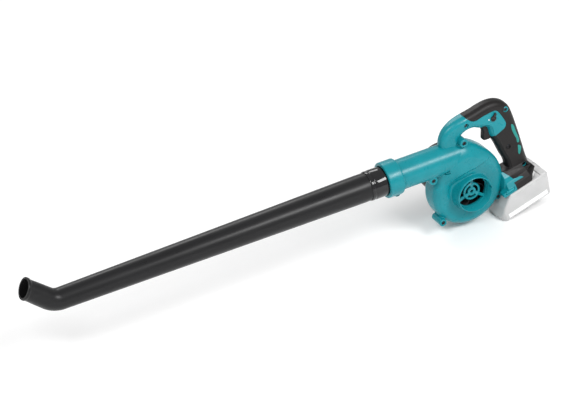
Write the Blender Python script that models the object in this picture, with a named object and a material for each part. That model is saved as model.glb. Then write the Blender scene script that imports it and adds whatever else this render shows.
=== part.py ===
"""Cordless leaf blower: a snail-shaped fan case, a C handle, a slide-on battery and a long bent nozzle.

Working axes: the fan turns about the Y axis through X = 0, Z = 0. The nozzle points along -X, the air inlet
faces -Y and +Z is up. The empty "blower" moves everything so that the origin is the middle of the base.
"""

from math import cos, pi, radians, sin

import bmesh
import bpy
import numpy as np
from mathutils import Matrix, Vector

MM = 0.001
GAP = 0.3 * MM  # clearance between touching pieces
WALL = 2.6 * MM  # moulded wall

# Fan case: a spiral that grows into the outlet pipe
CASE_TURN = (-30, 0, 25, 47, 65, 80, 88, 98, 106, 116, 128, 147, 200, 330)
CASE_RADIUS = (79.5, 80, 82, 86, 92.5, 102.5, 110, 113.5, 112, 106, 94, 80, 79.5, 79)
CASE_NEAR = (16, 18, 21, 24, 27, 30, 30.5, 30.5, 30.5, 29, 24, 16, 15, 16)
CASE_FAR = (34, 34, 34, 34, 33, 32, 31, 30.5, 30.5, 31, 33, 34, 34, 34)
NEAR_ROUND = (13, 14, 16, 18, 22, 26, 27, 27, 26, 24, 18, 13, 13, 13)
FAR_ROUND = (11, 11, 12, 14, 18, 24, 27, 27, 26, 24, 16, 11, 11, 11)
CASE_STEPS = 44
PIPE_Z = 82 * MM
PIPE_RADIUS = 30.7 * MM
PIPE_BORE = 28.7 * MM
PIPE_FRONT = -170 * MM
COLLAR_RADIUS = 36.8 * MM
COLLAR_FRONT = -186 * MM
COLLAR_REAR = -150 * MM

# Air inlet
INLET_LIP_Y = -40 * MM
INLET_RADIUS = 38.6 * MM
INLET_BASE_RADIUS = 42 * MM
INLET_BORE = 36 * MM
GUARD_Y = -22.5 * MM
GUARD_RADIUS = 19 * MM

# Fan and motor
FAN_RADIUS = 62 * MM
FAN_BLADES = 9
BLADE_THICKNESS = 1.6 * MM
MOTOR_RADIUS = 50 * MM
MOTOR_END = 84 * MM
COVER_RADIUS = 54 * MM
COVER_END = 114 * MM
VENT_HALF = 2.4 * MM
CAN_RADIUS = 24 * MM
SHAFT_RADIUS = 2.5 * MM
BEARING_RADIUS = 8 * MM

# Handle, as seen from the inlet side
HANDLE_OUTER = (
    (-53, 80), (-52.5, 118), (-46, 137), (-35, 149), (-18, 158.5), (1, 163.5), (24, 168), (45, 173.5),
    (64, 176), (82, 173.5), (97, 165.5), (107.5, 152.5), (114, 134), (120.5, 108), (126.5, 82), (132, 56),
    (137, 32), (141, 14), (139, -6), (136, -46),
)
HANDLE_INNER = (
    (93, -50), (93, 0), (91, 27), (82, 49), (76, 65), (70, 80), (62, 96), (57.5, 108), (56, 119),
    (50, 125), (38, 126), (31, 129), (23, 132), (10, 132), (-2, 127), (-11, 115), (-15, 80),
)
HANDLE_HALF = 16.5 * MM
HANDLE_ROUND = 13 * MM
HANDLE_WALL = 3 * MM
FOOT_FRONT, FOOT_SHARE = -45 * MM, 0.74  # the arch thins to this share of its width towards its foot
COVER_SKIN = 2 * MM
COVER_EDGE = (
    (-24, 200), (15, 152.5), (56, 155), (74, 156), (91, 140), (97, 123.5), (89, 104), (67, 94), (50, 86),
    (50, 34), (170, 34), (170, 200),
)

# Battery mount, in axes turned with the battery: U runs rearwards along its rails, V is square to them
BATTERY_TILT = radians(15)
BASE_HALF = 37 * MM
BASE_FRONT_U = 60 * MM
BASE_REAR_U = 139 * MM
BASE_LOW_V = -52 * MM
BASE_SIDE_V = -37 * MM
BASE_TOP_V = -20 * MM
BATTERY_HALF = 37.5 * MM
BATTERY_LOW_V = -106.5 * MM
BATTERY_TOP_V = -52.3 * MM
BATTERY_HUMP_V = -50 * MM
BATTERY_REAR_U = 160 * MM
BATTERY_WALL = 2.5 * MM
BATTERY_FRONT = ((44, 37.5), (39, 33), (35, 25), (33, 12))  # U and half width of the rounded front
LATCH_HALF = 12.5 * MM
LATCH_DEPTH = 6.7 * MM
LATCH_LOW_V, LATCH_TOP_V = -71 * MM, -53 * MM
RAIL_NECK_HALF = 24 * MM
RAIL_HEAD_HALF = 28 * MM
RAIL_STEP_V = -45 * MM
RAIL_TOP_V = -39.5 * MM
RAIL_FRONT_U = 74 * MM
RAIL_REAR_U = 137 * MM
BLADE_SIDES = (-12, 0, 12)  # Y of the three terminal blades
CELL_RADIUS = 9 * MM
CELL_LENGTH = 65 * MM
CELL_PITCH = 18.4 * MM
CELL_FRONT_U = 63 * MM
CELL_ROWS_V = (-94.6 * MM, -76.1 * MM)
BOARD_V = -62.2 * MM

# Nozzle
SLEEVE_REAR = -160 * MM
SLEEVE_FRONT = -218 * MM
SLEEVE_RADIUS = 30.3 * MM
SPIGOT_RADIUS = 28.3 * MM
SPIGOT_FRONT = -240 * MM
TUBE_SPIGOT = 26.4 * MM
SLEEVE_BORE = 24.4 * MM
TUBE_REAR_RADIUS = 29 * MM
TUBE_FRONT_RADIUS = 21.8 * MM
TUBE_WALL = 2.2 * MM
BEND_X = -862 * MM
BEND_ANGLE = radians(44)
MOUTH_ANGLE = radians(32)
BEND_RADIUS = 38 * MM
TIP_LENGTH = 54 * MM
TIP_TAPER = 8 * MM  # extra loss of radius per tube length, past the bend
LIP_FLARE = 1.8 * MM

# Screws: (name, X, Z, near end of the boss, far end of the screw, boss radius)
SCREWS = (
    ("screw_case_top", -8.5, 115.5, -27, 14, 9),
    ("screw_case_tongue", -81, 53, -22, 14, 9),
    ("screw_case_bottom", -67, -53, -18, 14, 8),
    ("screw_case_rear", 65.5, -43, -12, 16, 6.5),
    ("screw_handle_front", 5, 146, -14, 12, 6),
    ("screw_handle_rear", 95, 151.5, -16, 12, 6),
    ("screw_grip", 95, 66, -15, 12, 6),
    ("screw_base", 127, 14, -16, 12, 6),
)
SCREW_HEAD = 3.6 * MM
SCREW_SHANK = 1.8 * MM
HEAD_DEPTH = 3.4 * MM
HEAD_REACH = 8 * MM  # a head recess is cut this far outwards, through the skin over the screw

TRIGGER_HALF = 6.8 * MM
TRIGGER_OUTLINE = (
    (62, 127), (62, 97), (59, 93), (49, 93), (45.5, 95.5), (46, 104), (47, 113), (45, 121), (44, 127),
)
SWITCH_LOW = (70 * MM, -8 * MM, 104 * MM)
SWITCH_HIGH = (95 * MM, 8 * MM, 128 * MM)
LEVER_X, LEVER_Z = 66 * MM, 142 * MM

# The model's middle in X and its lowest point, in the working axes
MIDDLE_X = -382.66 * MM
BASE_Z = -92.52 * MM
MIDDLE_Y = 37 * MM

TEAL = (0.006, 0.21, 0.26)
BLACK = (0.018, 0.018, 0.02)
COLOURS = {
    "case": (TEAL, 0.42, 0),
    "soft_black": (BLACK, 0.7, 0),
    "gloss_black": ((0.012, 0.012, 0.013), 0.15, 0),
    "tube_black": ((0.022, 0.022, 0.023), 0.45, 0),
    "battery_grey": ((0.55, 0.55, 0.55), 0.5, 0),
    "battery_dark": ((0.3, 0.3, 0.3), 0.5, 0),
    "steel": ((0.5, 0.5, 0.52), 0.3, 1),
    "screw_steel": ((0.05, 0.05, 0.055), 0.4, 1),
    "copper": ((0.7, 0.33, 0.18), 0.3, 1),
    "magnet": ((0.06, 0.06, 0.065), 0.6, 0),
    "carbon": ((0.03, 0.03, 0.03), 0.8, 0),
    "fan_grey": ((0.1, 0.1, 0.1), 0.5, 0),
    "cell_wrap": ((0.1, 0.35, 0.2), 0.35, 0),
    "board_green": ((0.02, 0.16, 0.06), 0.5, 0),
}


# ---------------------------------------------------------------- mesh helpers


def clear_scene():
    for item in list(bpy.data.objects):
        bpy.data.objects.remove(item, do_unlink=True)


def material(name):
    found = bpy.data.materials.get(name)
    if found:
        return found
    colour, roughness, metallic = COLOURS[name.rsplit("__", 1)[1]]
    made = bpy.data.materials.new(name)
    made.use_nodes = True
    shader = made.node_tree.nodes["Principled BSDF"]
    shader.inputs["Base Color"].default_value = (*colour, 1)
    shader.inputs["Roughness"].default_value = roughness
    shader.inputs["Metallic"].default_value = metallic
    return made


def mesh_object(name, bm, finish=None):
    """Turns a bmesh into an object whose faces point outwards."""
    bmesh.ops.recalc_face_normals(bm, faces=bm.faces)
    mesh = bpy.data.meshes.new(name)
    bm.to_mesh(mesh)
    bm.free()
    made = bpy.data.objects.new(name, mesh)
    bpy.context.scene.collection.objects.link(made)
    if finish:
        made.data.materials.append(material(f"{name}__{finish}"))
        made.data.shade_smooth()
        made.data.set_sharp_from_angle(angle=radians(35))
    return made


def loops_solid(name, loops, finish=None, ring=False):
    """A skin over loops with equal point counts. Ends are capped, or with ring the last joins the first."""
    bm = bmesh.new()
    rows = [[bm.verts.new(point) for point in loop] for loop in loops]
    count = len(loops[0])
    pairs = list(zip(rows, rows[1:]))
    if ring:
        pairs.append((rows[-1], rows[0]))
    for low, high in pairs:
        for i in range(count):
            j = (i + 1) % count
            bm.faces.new((low[i], low[j], high[j], high[i]))
    if not ring:
        bm.faces.new(rows[0])
        bm.faces.new(rows[-1])
    return mesh_object(name, bm, finish)


def circle(radius, along, centre=(0, 0, 0), axis="Y", steps=32, start=0.0):
    """Points of a circle at a distance along an axis."""
    points = []
    for i in range(steps):
        angle = start + 2 * pi * i / steps
        a, b = radius * cos(angle), radius * sin(angle)
        offset = {"X": (along, a, b), "Y": (a, along, b), "Z": (a, b, along)}[axis]
        points.append(Vector(offset) + Vector(centre))
    return points


def turned(name, profile, finish=None, centre=(0, 0, 0), axis="Y", steps=32, ring=False, start=0.0):
    """A turned piece: profile is (radius, distance along the axis) pairs."""
    loops = [circle(radius, along, centre, axis, steps, start) for radius, along in profile]
    return loops_solid(name, loops, finish, ring)


def rod(radius, low, high, centre=(0, 0, 0), axis="Y", steps=24):
    """A plain cutter cylinder."""
    return turned("tool", ((radius, low), (radius, high)), None, centre, axis, steps)


def box(name, low, high, finish=None, frame=None):
    bm = bmesh.new()
    bmesh.ops.create_cube(bm, size=1)
    size = [b - a for a, b in zip(low, high)]
    middle = [(a + b) / 2 for a, b in zip(low, high)]
    matrix = (frame or Matrix()) @ Matrix.Translation(middle) @ Matrix.Diagonal((*size, 1))
    bmesh.ops.transform(bm, matrix=matrix, verts=bm.verts)
    return mesh_object(name, bm, finish)


def prism(name, outline, low, high, finish=None, frame=None):
    """A plate between two Y planes, from an outline of (X, Z) points."""
    matrix = frame or Matrix()
    loops = [[matrix @ Vector((x, y, z)) for x, z in outline] for y in (low, high)]
    return loops_solid(name, loops, finish)


def joined(target, tool, operation):
    """Applies one exact Boolean and removes the tool."""
    step = target.modifiers.new(operation, "BOOLEAN")
    step.operation = operation
    step.solver = "EXACT"
    step.object = tool
    graph = bpy.context.evaluated_depsgraph_get()
    mesh = bpy.data.meshes.new_from_object(target.evaluated_get(graph))
    target.modifiers.clear()
    old = target.data
    target.data = mesh
    bpy.data.meshes.remove(old)
    bpy.data.objects.remove(tool, do_unlink=True)
    return target


def add(target, *tools):
    for tool in tools:
        joined(target, tool, "UNION")
    return target


def cut(target, *tools):
    for tool in tools:
        joined(target, tool, "DIFFERENCE")
    return target


def keep(target, tool):
    return joined(target, tool, "INTERSECT")


def copy_of(source, name, finish=None):
    made = source.copy()
    made.data = source.data.copy()
    made.name = name
    bpy.context.scene.collection.objects.link(made)
    if finish:
        named(made, name, finish)
    return made


def largest_body(item):
    """Deletes the slivers that a Boolean can leave beside the main body."""
    bm = bmesh.new()
    bm.from_mesh(item.data)
    waiting = set(bm.verts)
    bodies = []
    while waiting:
        reached = {waiting.pop()}
        edge = list(reached)
        while edge:
            near = {e.other_vert(v) for v in edge for e in v.link_edges} - reached
            reached |= near
            edge = list(near)
        waiting -= reached
        bodies.append(reached)
    main = max(bodies, key=len)
    bmesh.ops.delete(bm, geom=[v for v in bm.verts if v not in main], context="VERTS")
    bm.to_mesh(item.data)
    bm.free()
    return item


def named(item, name, finish):
    """Gives a finished solid its name, its one material and its shading."""
    item.name = name
    item.data.name = name
    item.data.materials.clear()
    item.data.materials.append(material(f"{name}__{finish}"))
    item.data.shade_smooth()
    item.data.set_sharp_from_angle(angle=radians(35))
    return item


def smooth_curve(points, steps):
    """Catmull-Rom points through the given ones, with their ends kept."""
    padded = [points[0], *points, points[-1]]
    made = []
    for p0, p1, p2, p3 in zip(padded, padded[1:], padded[2:], padded[3:]):
        for i in range(steps):
            t = i / steps
            made.append(tuple(
                0.5 * (2 * b + (c - a) * t + (2 * a - 5 * b + 4 * c - d) * t**2
                       + (3 * b - a - 3 * c + d) * t**3)
                for a, b, c, d in zip(p0, p1, p2, p3)
            ))
    made.append(tuple(points[-1]))
    return made


def shrunk(outline, distance):
    """An outline moved inwards by a distance, point by point along its corner bisectors."""
    area = sum(a[0] * b[1] - b[0] * a[1] for a, b in zip(outline, outline[1:] + outline[:1]))
    side = 1 if area > 0 else -1
    made = []
    for before, here, after in zip(outline[-1:] + outline[:-1], outline, outline[1:] + outline[:1]):
        first = Vector((here[0] - before[0], here[1] - before[1])).normalized()
        second = Vector((after[0] - here[0], after[1] - here[1])).normalized()
        bisector = Vector((-first.y - second.y, first.x + second.x)).normalized()
        stretch = 1 / max(0.5, bisector.dot(Vector((-first.y, first.x))))
        made.append((here[0] + side * bisector.x * distance * stretch,
                     here[1] + side * bisector.y * distance * stretch))
    return made


def pillow(name, outline, half, rounding, steps=3):
    """A plate centred on Y = 0 whose two rims are rounded."""
    turns = [pi / 2 * i / steps for i in range(steps + 1)]
    side = [(rounding * (1 - cos(a)), half - rounding + rounding * sin(a)) for a in turns]
    loops = []
    for inset, y in [(d, -y) for d, y in reversed(side)] + side:
        loops.append([(x, y, z) for x, z in shrunk(outline, inset)])
    return tapered(loops_solid(name, loops))


def tapered(item):
    """Narrows everything in front of X = 0 towards the foot of the arch."""
    bm = bmesh.new()
    bm.from_mesh(item.data)
    whole = [*bm.verts, *bm.edges, *bm.faces]
    bmesh.ops.bisect_plane(bm, geom=whole, plane_co=(0, 0, 0), plane_no=(1, 0, 0))
    front = [face for face in bm.faces if face.calc_center_median().x < 0]
    bmesh.ops.triangulate(bm, faces=front)
    for vert in bm.verts:
        vert.co.y *= float(np.interp(vert.co.x, (FOOT_FRONT, 0), (FOOT_SHARE, 1)))
    bm.to_mesh(item.data)
    bm.free()
    return item


def triangulated(item):
    """Splits faces whose corners aren't all in one plane, so that a Boolean cuts them cleanly."""
    bm = bmesh.new()
    bm.from_mesh(item.data)
    bmesh.ops.triangulate(bm, faces=bm.faces)
    bm.to_mesh(item.data)
    bm.free()
    return item


def battery_axes():
    """U, Y and V of the battery mount, as columns."""
    c, s = cos(BATTERY_TILT), sin(BATTERY_TILT)
    return Matrix(((c, 0, -s, 0), (0, 1, 0, 0), (s, 0, c, 0), (0, 0, 0, 1)))


# ---------------------------------------------------------------- fan case


def case_value(table, angle):
    return float(np.interp((angle + 30) % 360 - 30, CASE_TURN, table)) * MM


def case_loop(angle_rows):
    return [Vector((r * cos(a), y, r * sin(a))) for a, r, y in angle_rows]


def case_solid(grow):
    """The scroll as one solid, moved outwards by grow."""
    angles = [2 * pi * i / CASE_STEPS for i in range(CASE_STEPS)]
    turns = [radians(v) for v in (90, 60, 30, 0)]

    def rim(angle, turn, depths, rounds, side):
        degrees = angle * 180 / pi
        radius = case_value(CASE_RADIUS, degrees)
        depth = case_value(depths, degrees)
        rounding = case_value(rounds, degrees)
        reach = radius - rounding * (1 - cos(turn)) + grow * cos(turn)
        y = side * (depth - rounding + rounding * sin(turn) + grow * sin(turn))
        return angle, reach, y

    loops = [circle(INLET_BASE_RADIUS, CASE_FAR[0] * MM + grow, steps=CASE_STEPS)]
    for turn in turns:
        loops.append(case_loop([rim(a, turn, CASE_FAR, FAR_ROUND, 1) for a in angles]))
    for turn in reversed(turns):
        loops.append(case_loop([rim(a, turn, CASE_NEAR, NEAR_ROUND, -1) for a in angles]))
    face = [(a, INLET_BASE_RADIUS + 3 * MM, -(CASE_NEAR[0] - 2) * MM - grow) for a in angles]
    loops.append(case_loop(face))
    return loops_solid("scroll", loops)


def pipe_solid(radius, front, rear):
    return rod(radius, front, rear, (0, 0, PIPE_Z), "X", 32)


def boss_solids(kind):
    """Round bosses for the screws of one kind."""
    made = []
    for name, x, z, near, far, radius in SCREWS:
        if not name.startswith(f"screw_{kind}"):
            continue
        made.append(rod(radius * MM, near * MM, (far + 4) * MM, (x * MM, 0, z * MM), steps=16))
    return made


def screw_holes(kind):
    """Head recesses and shank holes for the screws of one kind."""
    made = []
    for name, x, z, near, far, _ in SCREWS:
        if not name.startswith(f"screw_{kind}"):
            continue
        centre = (x * MM, 0, z * MM)
        head = near * MM
        made.append(rod(SCREW_HEAD + 2 * GAP, head - HEAD_REACH, head + HEAD_DEPTH, centre, steps=12))
        made.append(rod(SCREW_SHANK + GAP, head, far * MM + GAP, centre, steps=8))
    return made


def half_space(side):
    """Everything on one side of the parting plane."""
    low, high = (GAP / 2, 0.3) if side > 0 else (-0.3, -GAP / 2)
    return box("half", (-0.4, low, -0.4), (0.4, high, 0.4))


def fan_case():
    """Both moulded halves of the scroll, with its outlet pipe, inlet ring and screw bosses."""
    case = case_solid(0)
    case_ring = turned(
        "ring",
        ((INLET_BASE_RADIUS, -8 * MM), (INLET_BASE_RADIUS, -13.5 * MM), (INLET_RADIUS, INLET_LIP_Y)),
        steps=40,
    )
    add(case, pipe_solid(PIPE_RADIUS, PIPE_FRONT, -25 * MM), case_ring, *boss_solids("case"))
    hollow = case_solid(-WALL)
    add(hollow, pipe_solid(PIPE_BORE, PIPE_FRONT - MM, -25 * MM))
    bosses = [rod((r - 1.6) * MM, -0.05, 0.05, (x * MM, 0, z * MM), steps=12)
              for n, x, z, _, _, r in SCREWS if n.startswith("screw_case")]
    cut(hollow, *bosses)
    cut(case, hollow, *screw_holes("case"))
    cut(case, rod(INLET_BORE, INLET_LIP_Y - MM, 0, steps=40))
    cut(case, rod(CAN_RADIUS + 2 * MM, 20 * MM, 40 * MM, steps=28))
    for angle in (8, 188):
        turn = Matrix.Rotation(-radians(angle), 4, "Y")
        notch = box("notch", (INLET_BORE - 2 * MM, INLET_LIP_Y - MM, -3 * MM),
                    (INLET_BORE + 1.4 * MM, INLET_LIP_Y + 7 * MM, 3 * MM), frame=turn)
        cut(case, notch)
    right = keep(copy_of(case, "fan_case_right"), half_space(1))
    left = keep(case, half_space(-1))
    return named(left, "fan_case_left", "case"), named(right, "fan_case_right", "case")


def inlet_guard():
    """A finger guard: a slotted disc on three spokes inside a ring that fits the inlet bore."""
    outer = INLET_BORE - GAP
    guard = turned("guard", ((outer, GUARD_Y), (outer, GUARD_Y + 6 * MM), (outer - 2 * MM, GUARD_Y + 6 * MM),
                             (outer - 2 * MM, GUARD_Y)), ring=True, steps=40)
    disc = rod(GUARD_RADIUS, GUARD_Y, GUARD_Y + 3 * MM, steps=32)
    cut(disc, rod(3.4 * MM, GUARD_Y - MM, GUARD_Y + 4 * MM, steps=12))
    for i in range(3):
        start = radians(100 + 120 * i)
        arc = [(r * cos(start + radians(a)), r * sin(start + radians(a)))
               for r, angles in ((14.8 * MM, range(0, 91, 15)), (9.2 * MM, range(90, -1, -15)))
               for a in angles]
        cut(disc, prism("slot", arc, GUARD_Y - MM, GUARD_Y + 4 * MM))
    for i in range(3):
        turn = Matrix.Rotation(-radians(84 + 120 * i), 4, "Y")
        spoke = box("spoke", (GUARD_RADIUS - 2 * MM, GUARD_Y + 0.5 * MM, -3 * MM),
                    (outer - MM, GUARD_Y + 3.5 * MM, 3 * MM), frame=turn)
        add(disc, spoke)
    return named(add(guard, disc), "inlet_guard", "case")


def outlet_collar():
    """The ring that clamps the pipe's two halves and takes the nozzle's sleeve."""
    centre = (0, 0, PIPE_Z)
    collar = rod(COLLAR_RADIUS, COLLAR_FRONT, COLLAR_REAR, centre, "X", 36)
    lug = rod(7 * MM, -8 * MM, 8 * MM, (-156 * MM, 0, 46 * MM), steps=16)
    add(collar, lug)
    cut(collar, rod(PIPE_RADIUS + 2 * GAP, PIPE_FRONT - MM, COLLAR_REAR + MM, centre, "X", 32))
    cut(collar, rod(30.6 * MM, COLLAR_FRONT - MM, PIPE_FRONT, centre, "X", 36))
    screw = (-156 * MM, 0, 45 * MM)
    cut(collar, rod(SCREW_HEAD + 2 * GAP, -9 * MM, -8 * MM + HEAD_DEPTH, screw, steps=12))
    cut(collar, rod(SCREW_SHANK + GAP, -8 * MM, 6 * MM, screw, steps=8))
    return named(collar, "outlet_collar", "case")


# ---------------------------------------------------------------- fan and motor


def impeller():
    """A centrifugal wheel: a hub and back plate with swept blades, all one moulding."""
    bore = SHAFT_RADIUS + GAP
    wheel = turned("wheel", (
        (FAN_RADIUS, 27 * MM), (FAN_RADIUS, 25 * MM), (30 * MM, 23.5 * MM), (10 * MM, 14 * MM),
        (7 * MM, 2 * MM), (bore, 2 * MM), (bore, 27 * MM),
    ), ring=True, steps=32)
    for i in range(FAN_BLADES):
        base = 2 * pi * i / FAN_BLADES
        path = []
        for k in range(4):
            radius = (24 + 35 * k / 3) * MM
            angle = base - 0.75 * (k / 3) ** 1.2
            path.append((radius, angle))
        front = [(r * cos(a), r * sin(a)) for r, a in path]
        thick = [(r + 0.4 * MM, a + BLADE_THICKNESS / r) for r, a in path]
        back = [(r * cos(a), r * sin(a)) for r, a in thick]
        add(wheel, prism("blade", front + back[::-1], -4 * MM, 25.5 * MM))
    return named(wheel, "fan_impeller", "fan_grey")


def motor():
    """The brushed motor behind the fan: what turns first, then what stays still."""
    turned("motor_shaft", ((SHAFT_RADIUS, -5 * MM), (SHAFT_RADIUS, 104 * MM)), "steel", steps=12)
    nut = turned("fan_nut", ((4.6 * MM, 1.7 * MM), (4.6 * MM, -3 * MM)), None, steps=6)
    cut(nut, rod(SHAFT_RADIUS + GAP, -9 * MM, 9 * MM))
    named(nut, "fan_nut", "steel")
    core = rod(15 * MM, 48 * MM, 76 * MM, steps=30)
    cut(core, rod(SHAFT_RADIUS + GAP, 40 * MM, 90 * MM))
    for i in range(10):
        turn = Matrix.Rotation(2 * pi * i / 10, 4, "Y")
        slot = box("slot", (9 * MM, 47 * MM, -1 * MM), (16 * MM, 77 * MM, MM), frame=turn)
        cut(core, slot)
    named(core, "armature", "copper")
    ring_piece("commutator", 78 * MM, 90 * MM, "copper")
    ring_piece("front_bearing", 38 * MM, 44 * MM, "steel")
    ring_piece("rear_bearing", 96 * MM, 102 * MM, "steel")
    bore = BEARING_RADIUS + GAP
    turned("motor_can", (
        (CAN_RADIUS, 36 * MM), (CAN_RADIUS, 93 * MM), (CAN_RADIUS - 2 * MM, 93 * MM),
        (CAN_RADIUS - 2 * MM, 45 * MM), (bore, 45 * MM), (bore, 36 * MM),
    ), "steel", ring=True, steps=28)
    for name, start in (("magnet_upper", 30), ("magnet_lower", 210)):
        angles = [radians(start + 120 * k / 8) for k in range(9)]
        outline = [(21.6 * MM * cos(a), 21.6 * MM * sin(a)) for a in angles]
        outline += [(15.8 * MM * cos(a), 15.8 * MM * sin(a)) for a in reversed(angles)]
        prism(name, outline, 48 * MM, 76 * MM, "magnet")
    for name, side in (("left", -1), ("right", 1)):
        xs = sorted((side * 8.4 * MM, side * 17 * MM))
        box(f"brush_{name}", (xs[0], 81 * MM, -3 * MM), (xs[1], 87 * MM, 3 * MM), "carbon")
        xs = sorted((side * 10.5 * MM, side * 19.5 * MM))
        holder = box("holder", (xs[0], 79 * MM, -5 * MM), (xs[1], 89 * MM, 5 * MM))
        cut(holder, box("bore", (-0.02, 80.7 * MM, -3.3 * MM), (0.02, 87.3 * MM, 3.3 * MM)))
        named(holder, f"brush_holder_{name}", "soft_black")
    turned("motor_bracket", (
        (CAN_RADIUS, 93.3 * MM), (CAN_RADIUS, 104 * MM), (bore, 104 * MM), (bore, 95.7 * MM),
        (12 * MM, 95.7 * MM), (12 * MM, 93.3 * MM),
    ), "soft_black", ring=True, steps=28)


def ring_piece(name, low, high, finish):
    """A plain ring that sits on the shaft."""
    bore, radius = SHAFT_RADIUS + GAP, BEARING_RADIUS
    turned(name, ((radius, low), (radius, high), (bore, high), (bore, low)), finish, ring=True, steps=20)


def motor_housing():
    """The barrel on the far side of the case, with a seat for the motor."""
    low = CASE_FAR[0] * MM + GAP
    seat = CAN_RADIUS + 1.5 * MM
    return turned("motor_housing", (
        (MOTOR_RADIUS, low), (MOTOR_RADIUS, MOTOR_END), (MOTOR_RADIUS - WALL, MOTOR_END),
        (MOTOR_RADIUS - WALL, low + 6 * MM), (seat, low + 6 * MM), (seat, low),
    ), "case", ring=True, steps=40)


def motor_cover():
    """The vented end cap."""
    low = MOTOR_END - 10 * MM
    bore = MOTOR_RADIUS + GAP
    cover = turned("cover", (
        (COVER_RADIUS, low), (COVER_RADIUS, COVER_END - 9 * MM), (COVER_RADIUS - 3 * MM, COVER_END - 3 * MM),
        (COVER_RADIUS - 9 * MM, COVER_END), (10 * MM, COVER_END), (10 * MM, COVER_END - WALL),
        (COVER_RADIUS - 10 * MM, COVER_END - WALL), (bore, COVER_END - 9 * MM), (bore, low),
    ), ring=True, steps=40)
    hub = rod(11 * MM, COVER_END - WALL, COVER_END, steps=20)
    add(cover, hub)
    for i in range(10):
        turn = Matrix.Rotation(2 * pi * (i + 0.5) / 10, 4, "Y")
        vent = box("vent", (18 * MM, COVER_END - 6 * MM, -VENT_HALF), (40 * MM, COVER_END + MM, VENT_HALF),
                   frame=turn)
        cut(cover, vent)
    return named(cover, "motor_cover", "soft_black")


# ---------------------------------------------------------------- handle


def scaled(points):
    return [(x * MM, z * MM) for x, z in points]


def handle_outline():
    return smooth_curve(scaled(HANDLE_OUTER), 2) + smooth_curve(scaled(HANDLE_INNER), 2)


def base_solid():
    """The block that the battery slides under: tall in the middle, with a lower ledge along each side."""
    frame = battery_axes()
    front, rear, low = BASE_FRONT_U, BASE_REAR_U, BASE_LOW_V
    back = ((front, low), (rear - 15 * MM, low), (rear - 10 * MM, low + 13 * MM), (rear + MM, low + 28 * MM),
            (rear - 2 * MM, BASE_TOP_V))
    tops = (
        (14 * MM, (rear - 16 * MM, BASE_TOP_V + 8 * MM), (front + 14 * MM, BASE_TOP_V + 12 * MM)),
        (24 * MM, (rear - 16 * MM, BASE_TOP_V - MM), (front + 13 * MM, BASE_TOP_V + MM)),
        (28 * MM, (rear - 16 * MM, BASE_TOP_V - 8 * MM), (front + 12 * MM, BASE_TOP_V - 10 * MM)),
        (BASE_HALF - 1.5 * MM, (rear - 16 * MM, BASE_SIDE_V + 2 * MM), (front + 10 * MM, BASE_SIDE_V)),
    )
    rows = [(y, (*back, *top)) for y, *top in tops]
    rows.append((BASE_HALF, shrunk([*back, *tops[-1][1:]], 1.2 * MM)))
    loops = [[frame @ Vector((u, -y, v)) for u, v in row] for y, row in reversed(rows)]
    loops += [[frame @ Vector((u, y, v)) for u, v in row] for y, row in rows]
    return triangulated(loops_solid("base", loops))


def base_horn():
    """The base's near front end, beside the rear screw of the fan case."""
    outline = [(54 * MM, -48.5 * MM), (56.5 * MM, BASE_LOW_V), (66 * MM, BASE_LOW_V), (66 * MM, -40 * MM),
               (55 * MM, -43 * MM)]
    return prism("horn", outline, -BASE_HALF + 0.6 * MM, -21 * MM, frame=battery_axes())


def rail_block(front, rear, low, grow):
    """A T-shaped bar along U: the battery's rails, or with grow the slot that they slide in."""
    neck, head = RAIL_NECK_HALF + grow, RAIL_HEAD_HALF + grow
    step, top = RAIL_STEP_V - grow, RAIL_TOP_V + grow
    outline = ((-neck, low), (neck, low), (neck, step), (head, step),
               (head, top), (-head, top), (-head, step), (-neck, step))
    frame = battery_axes()
    return loops_solid("rails", [[frame @ Vector((u, y, v)) for y, v in outline] for u in (front, rear)])


def rail_slot():
    """The slot under the base, open at its rear, that takes the battery's rails and the terminals."""
    return rail_block(RAIL_FRONT_U - 4 * MM, BASE_REAR_U + 20 * MM, BASE_LOW_V - 5 * MM, GAP)


def cover_region(grow):
    return prism("region", shrunk(scaled(COVER_EDGE), -grow), -0.1, 0.1)


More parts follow.
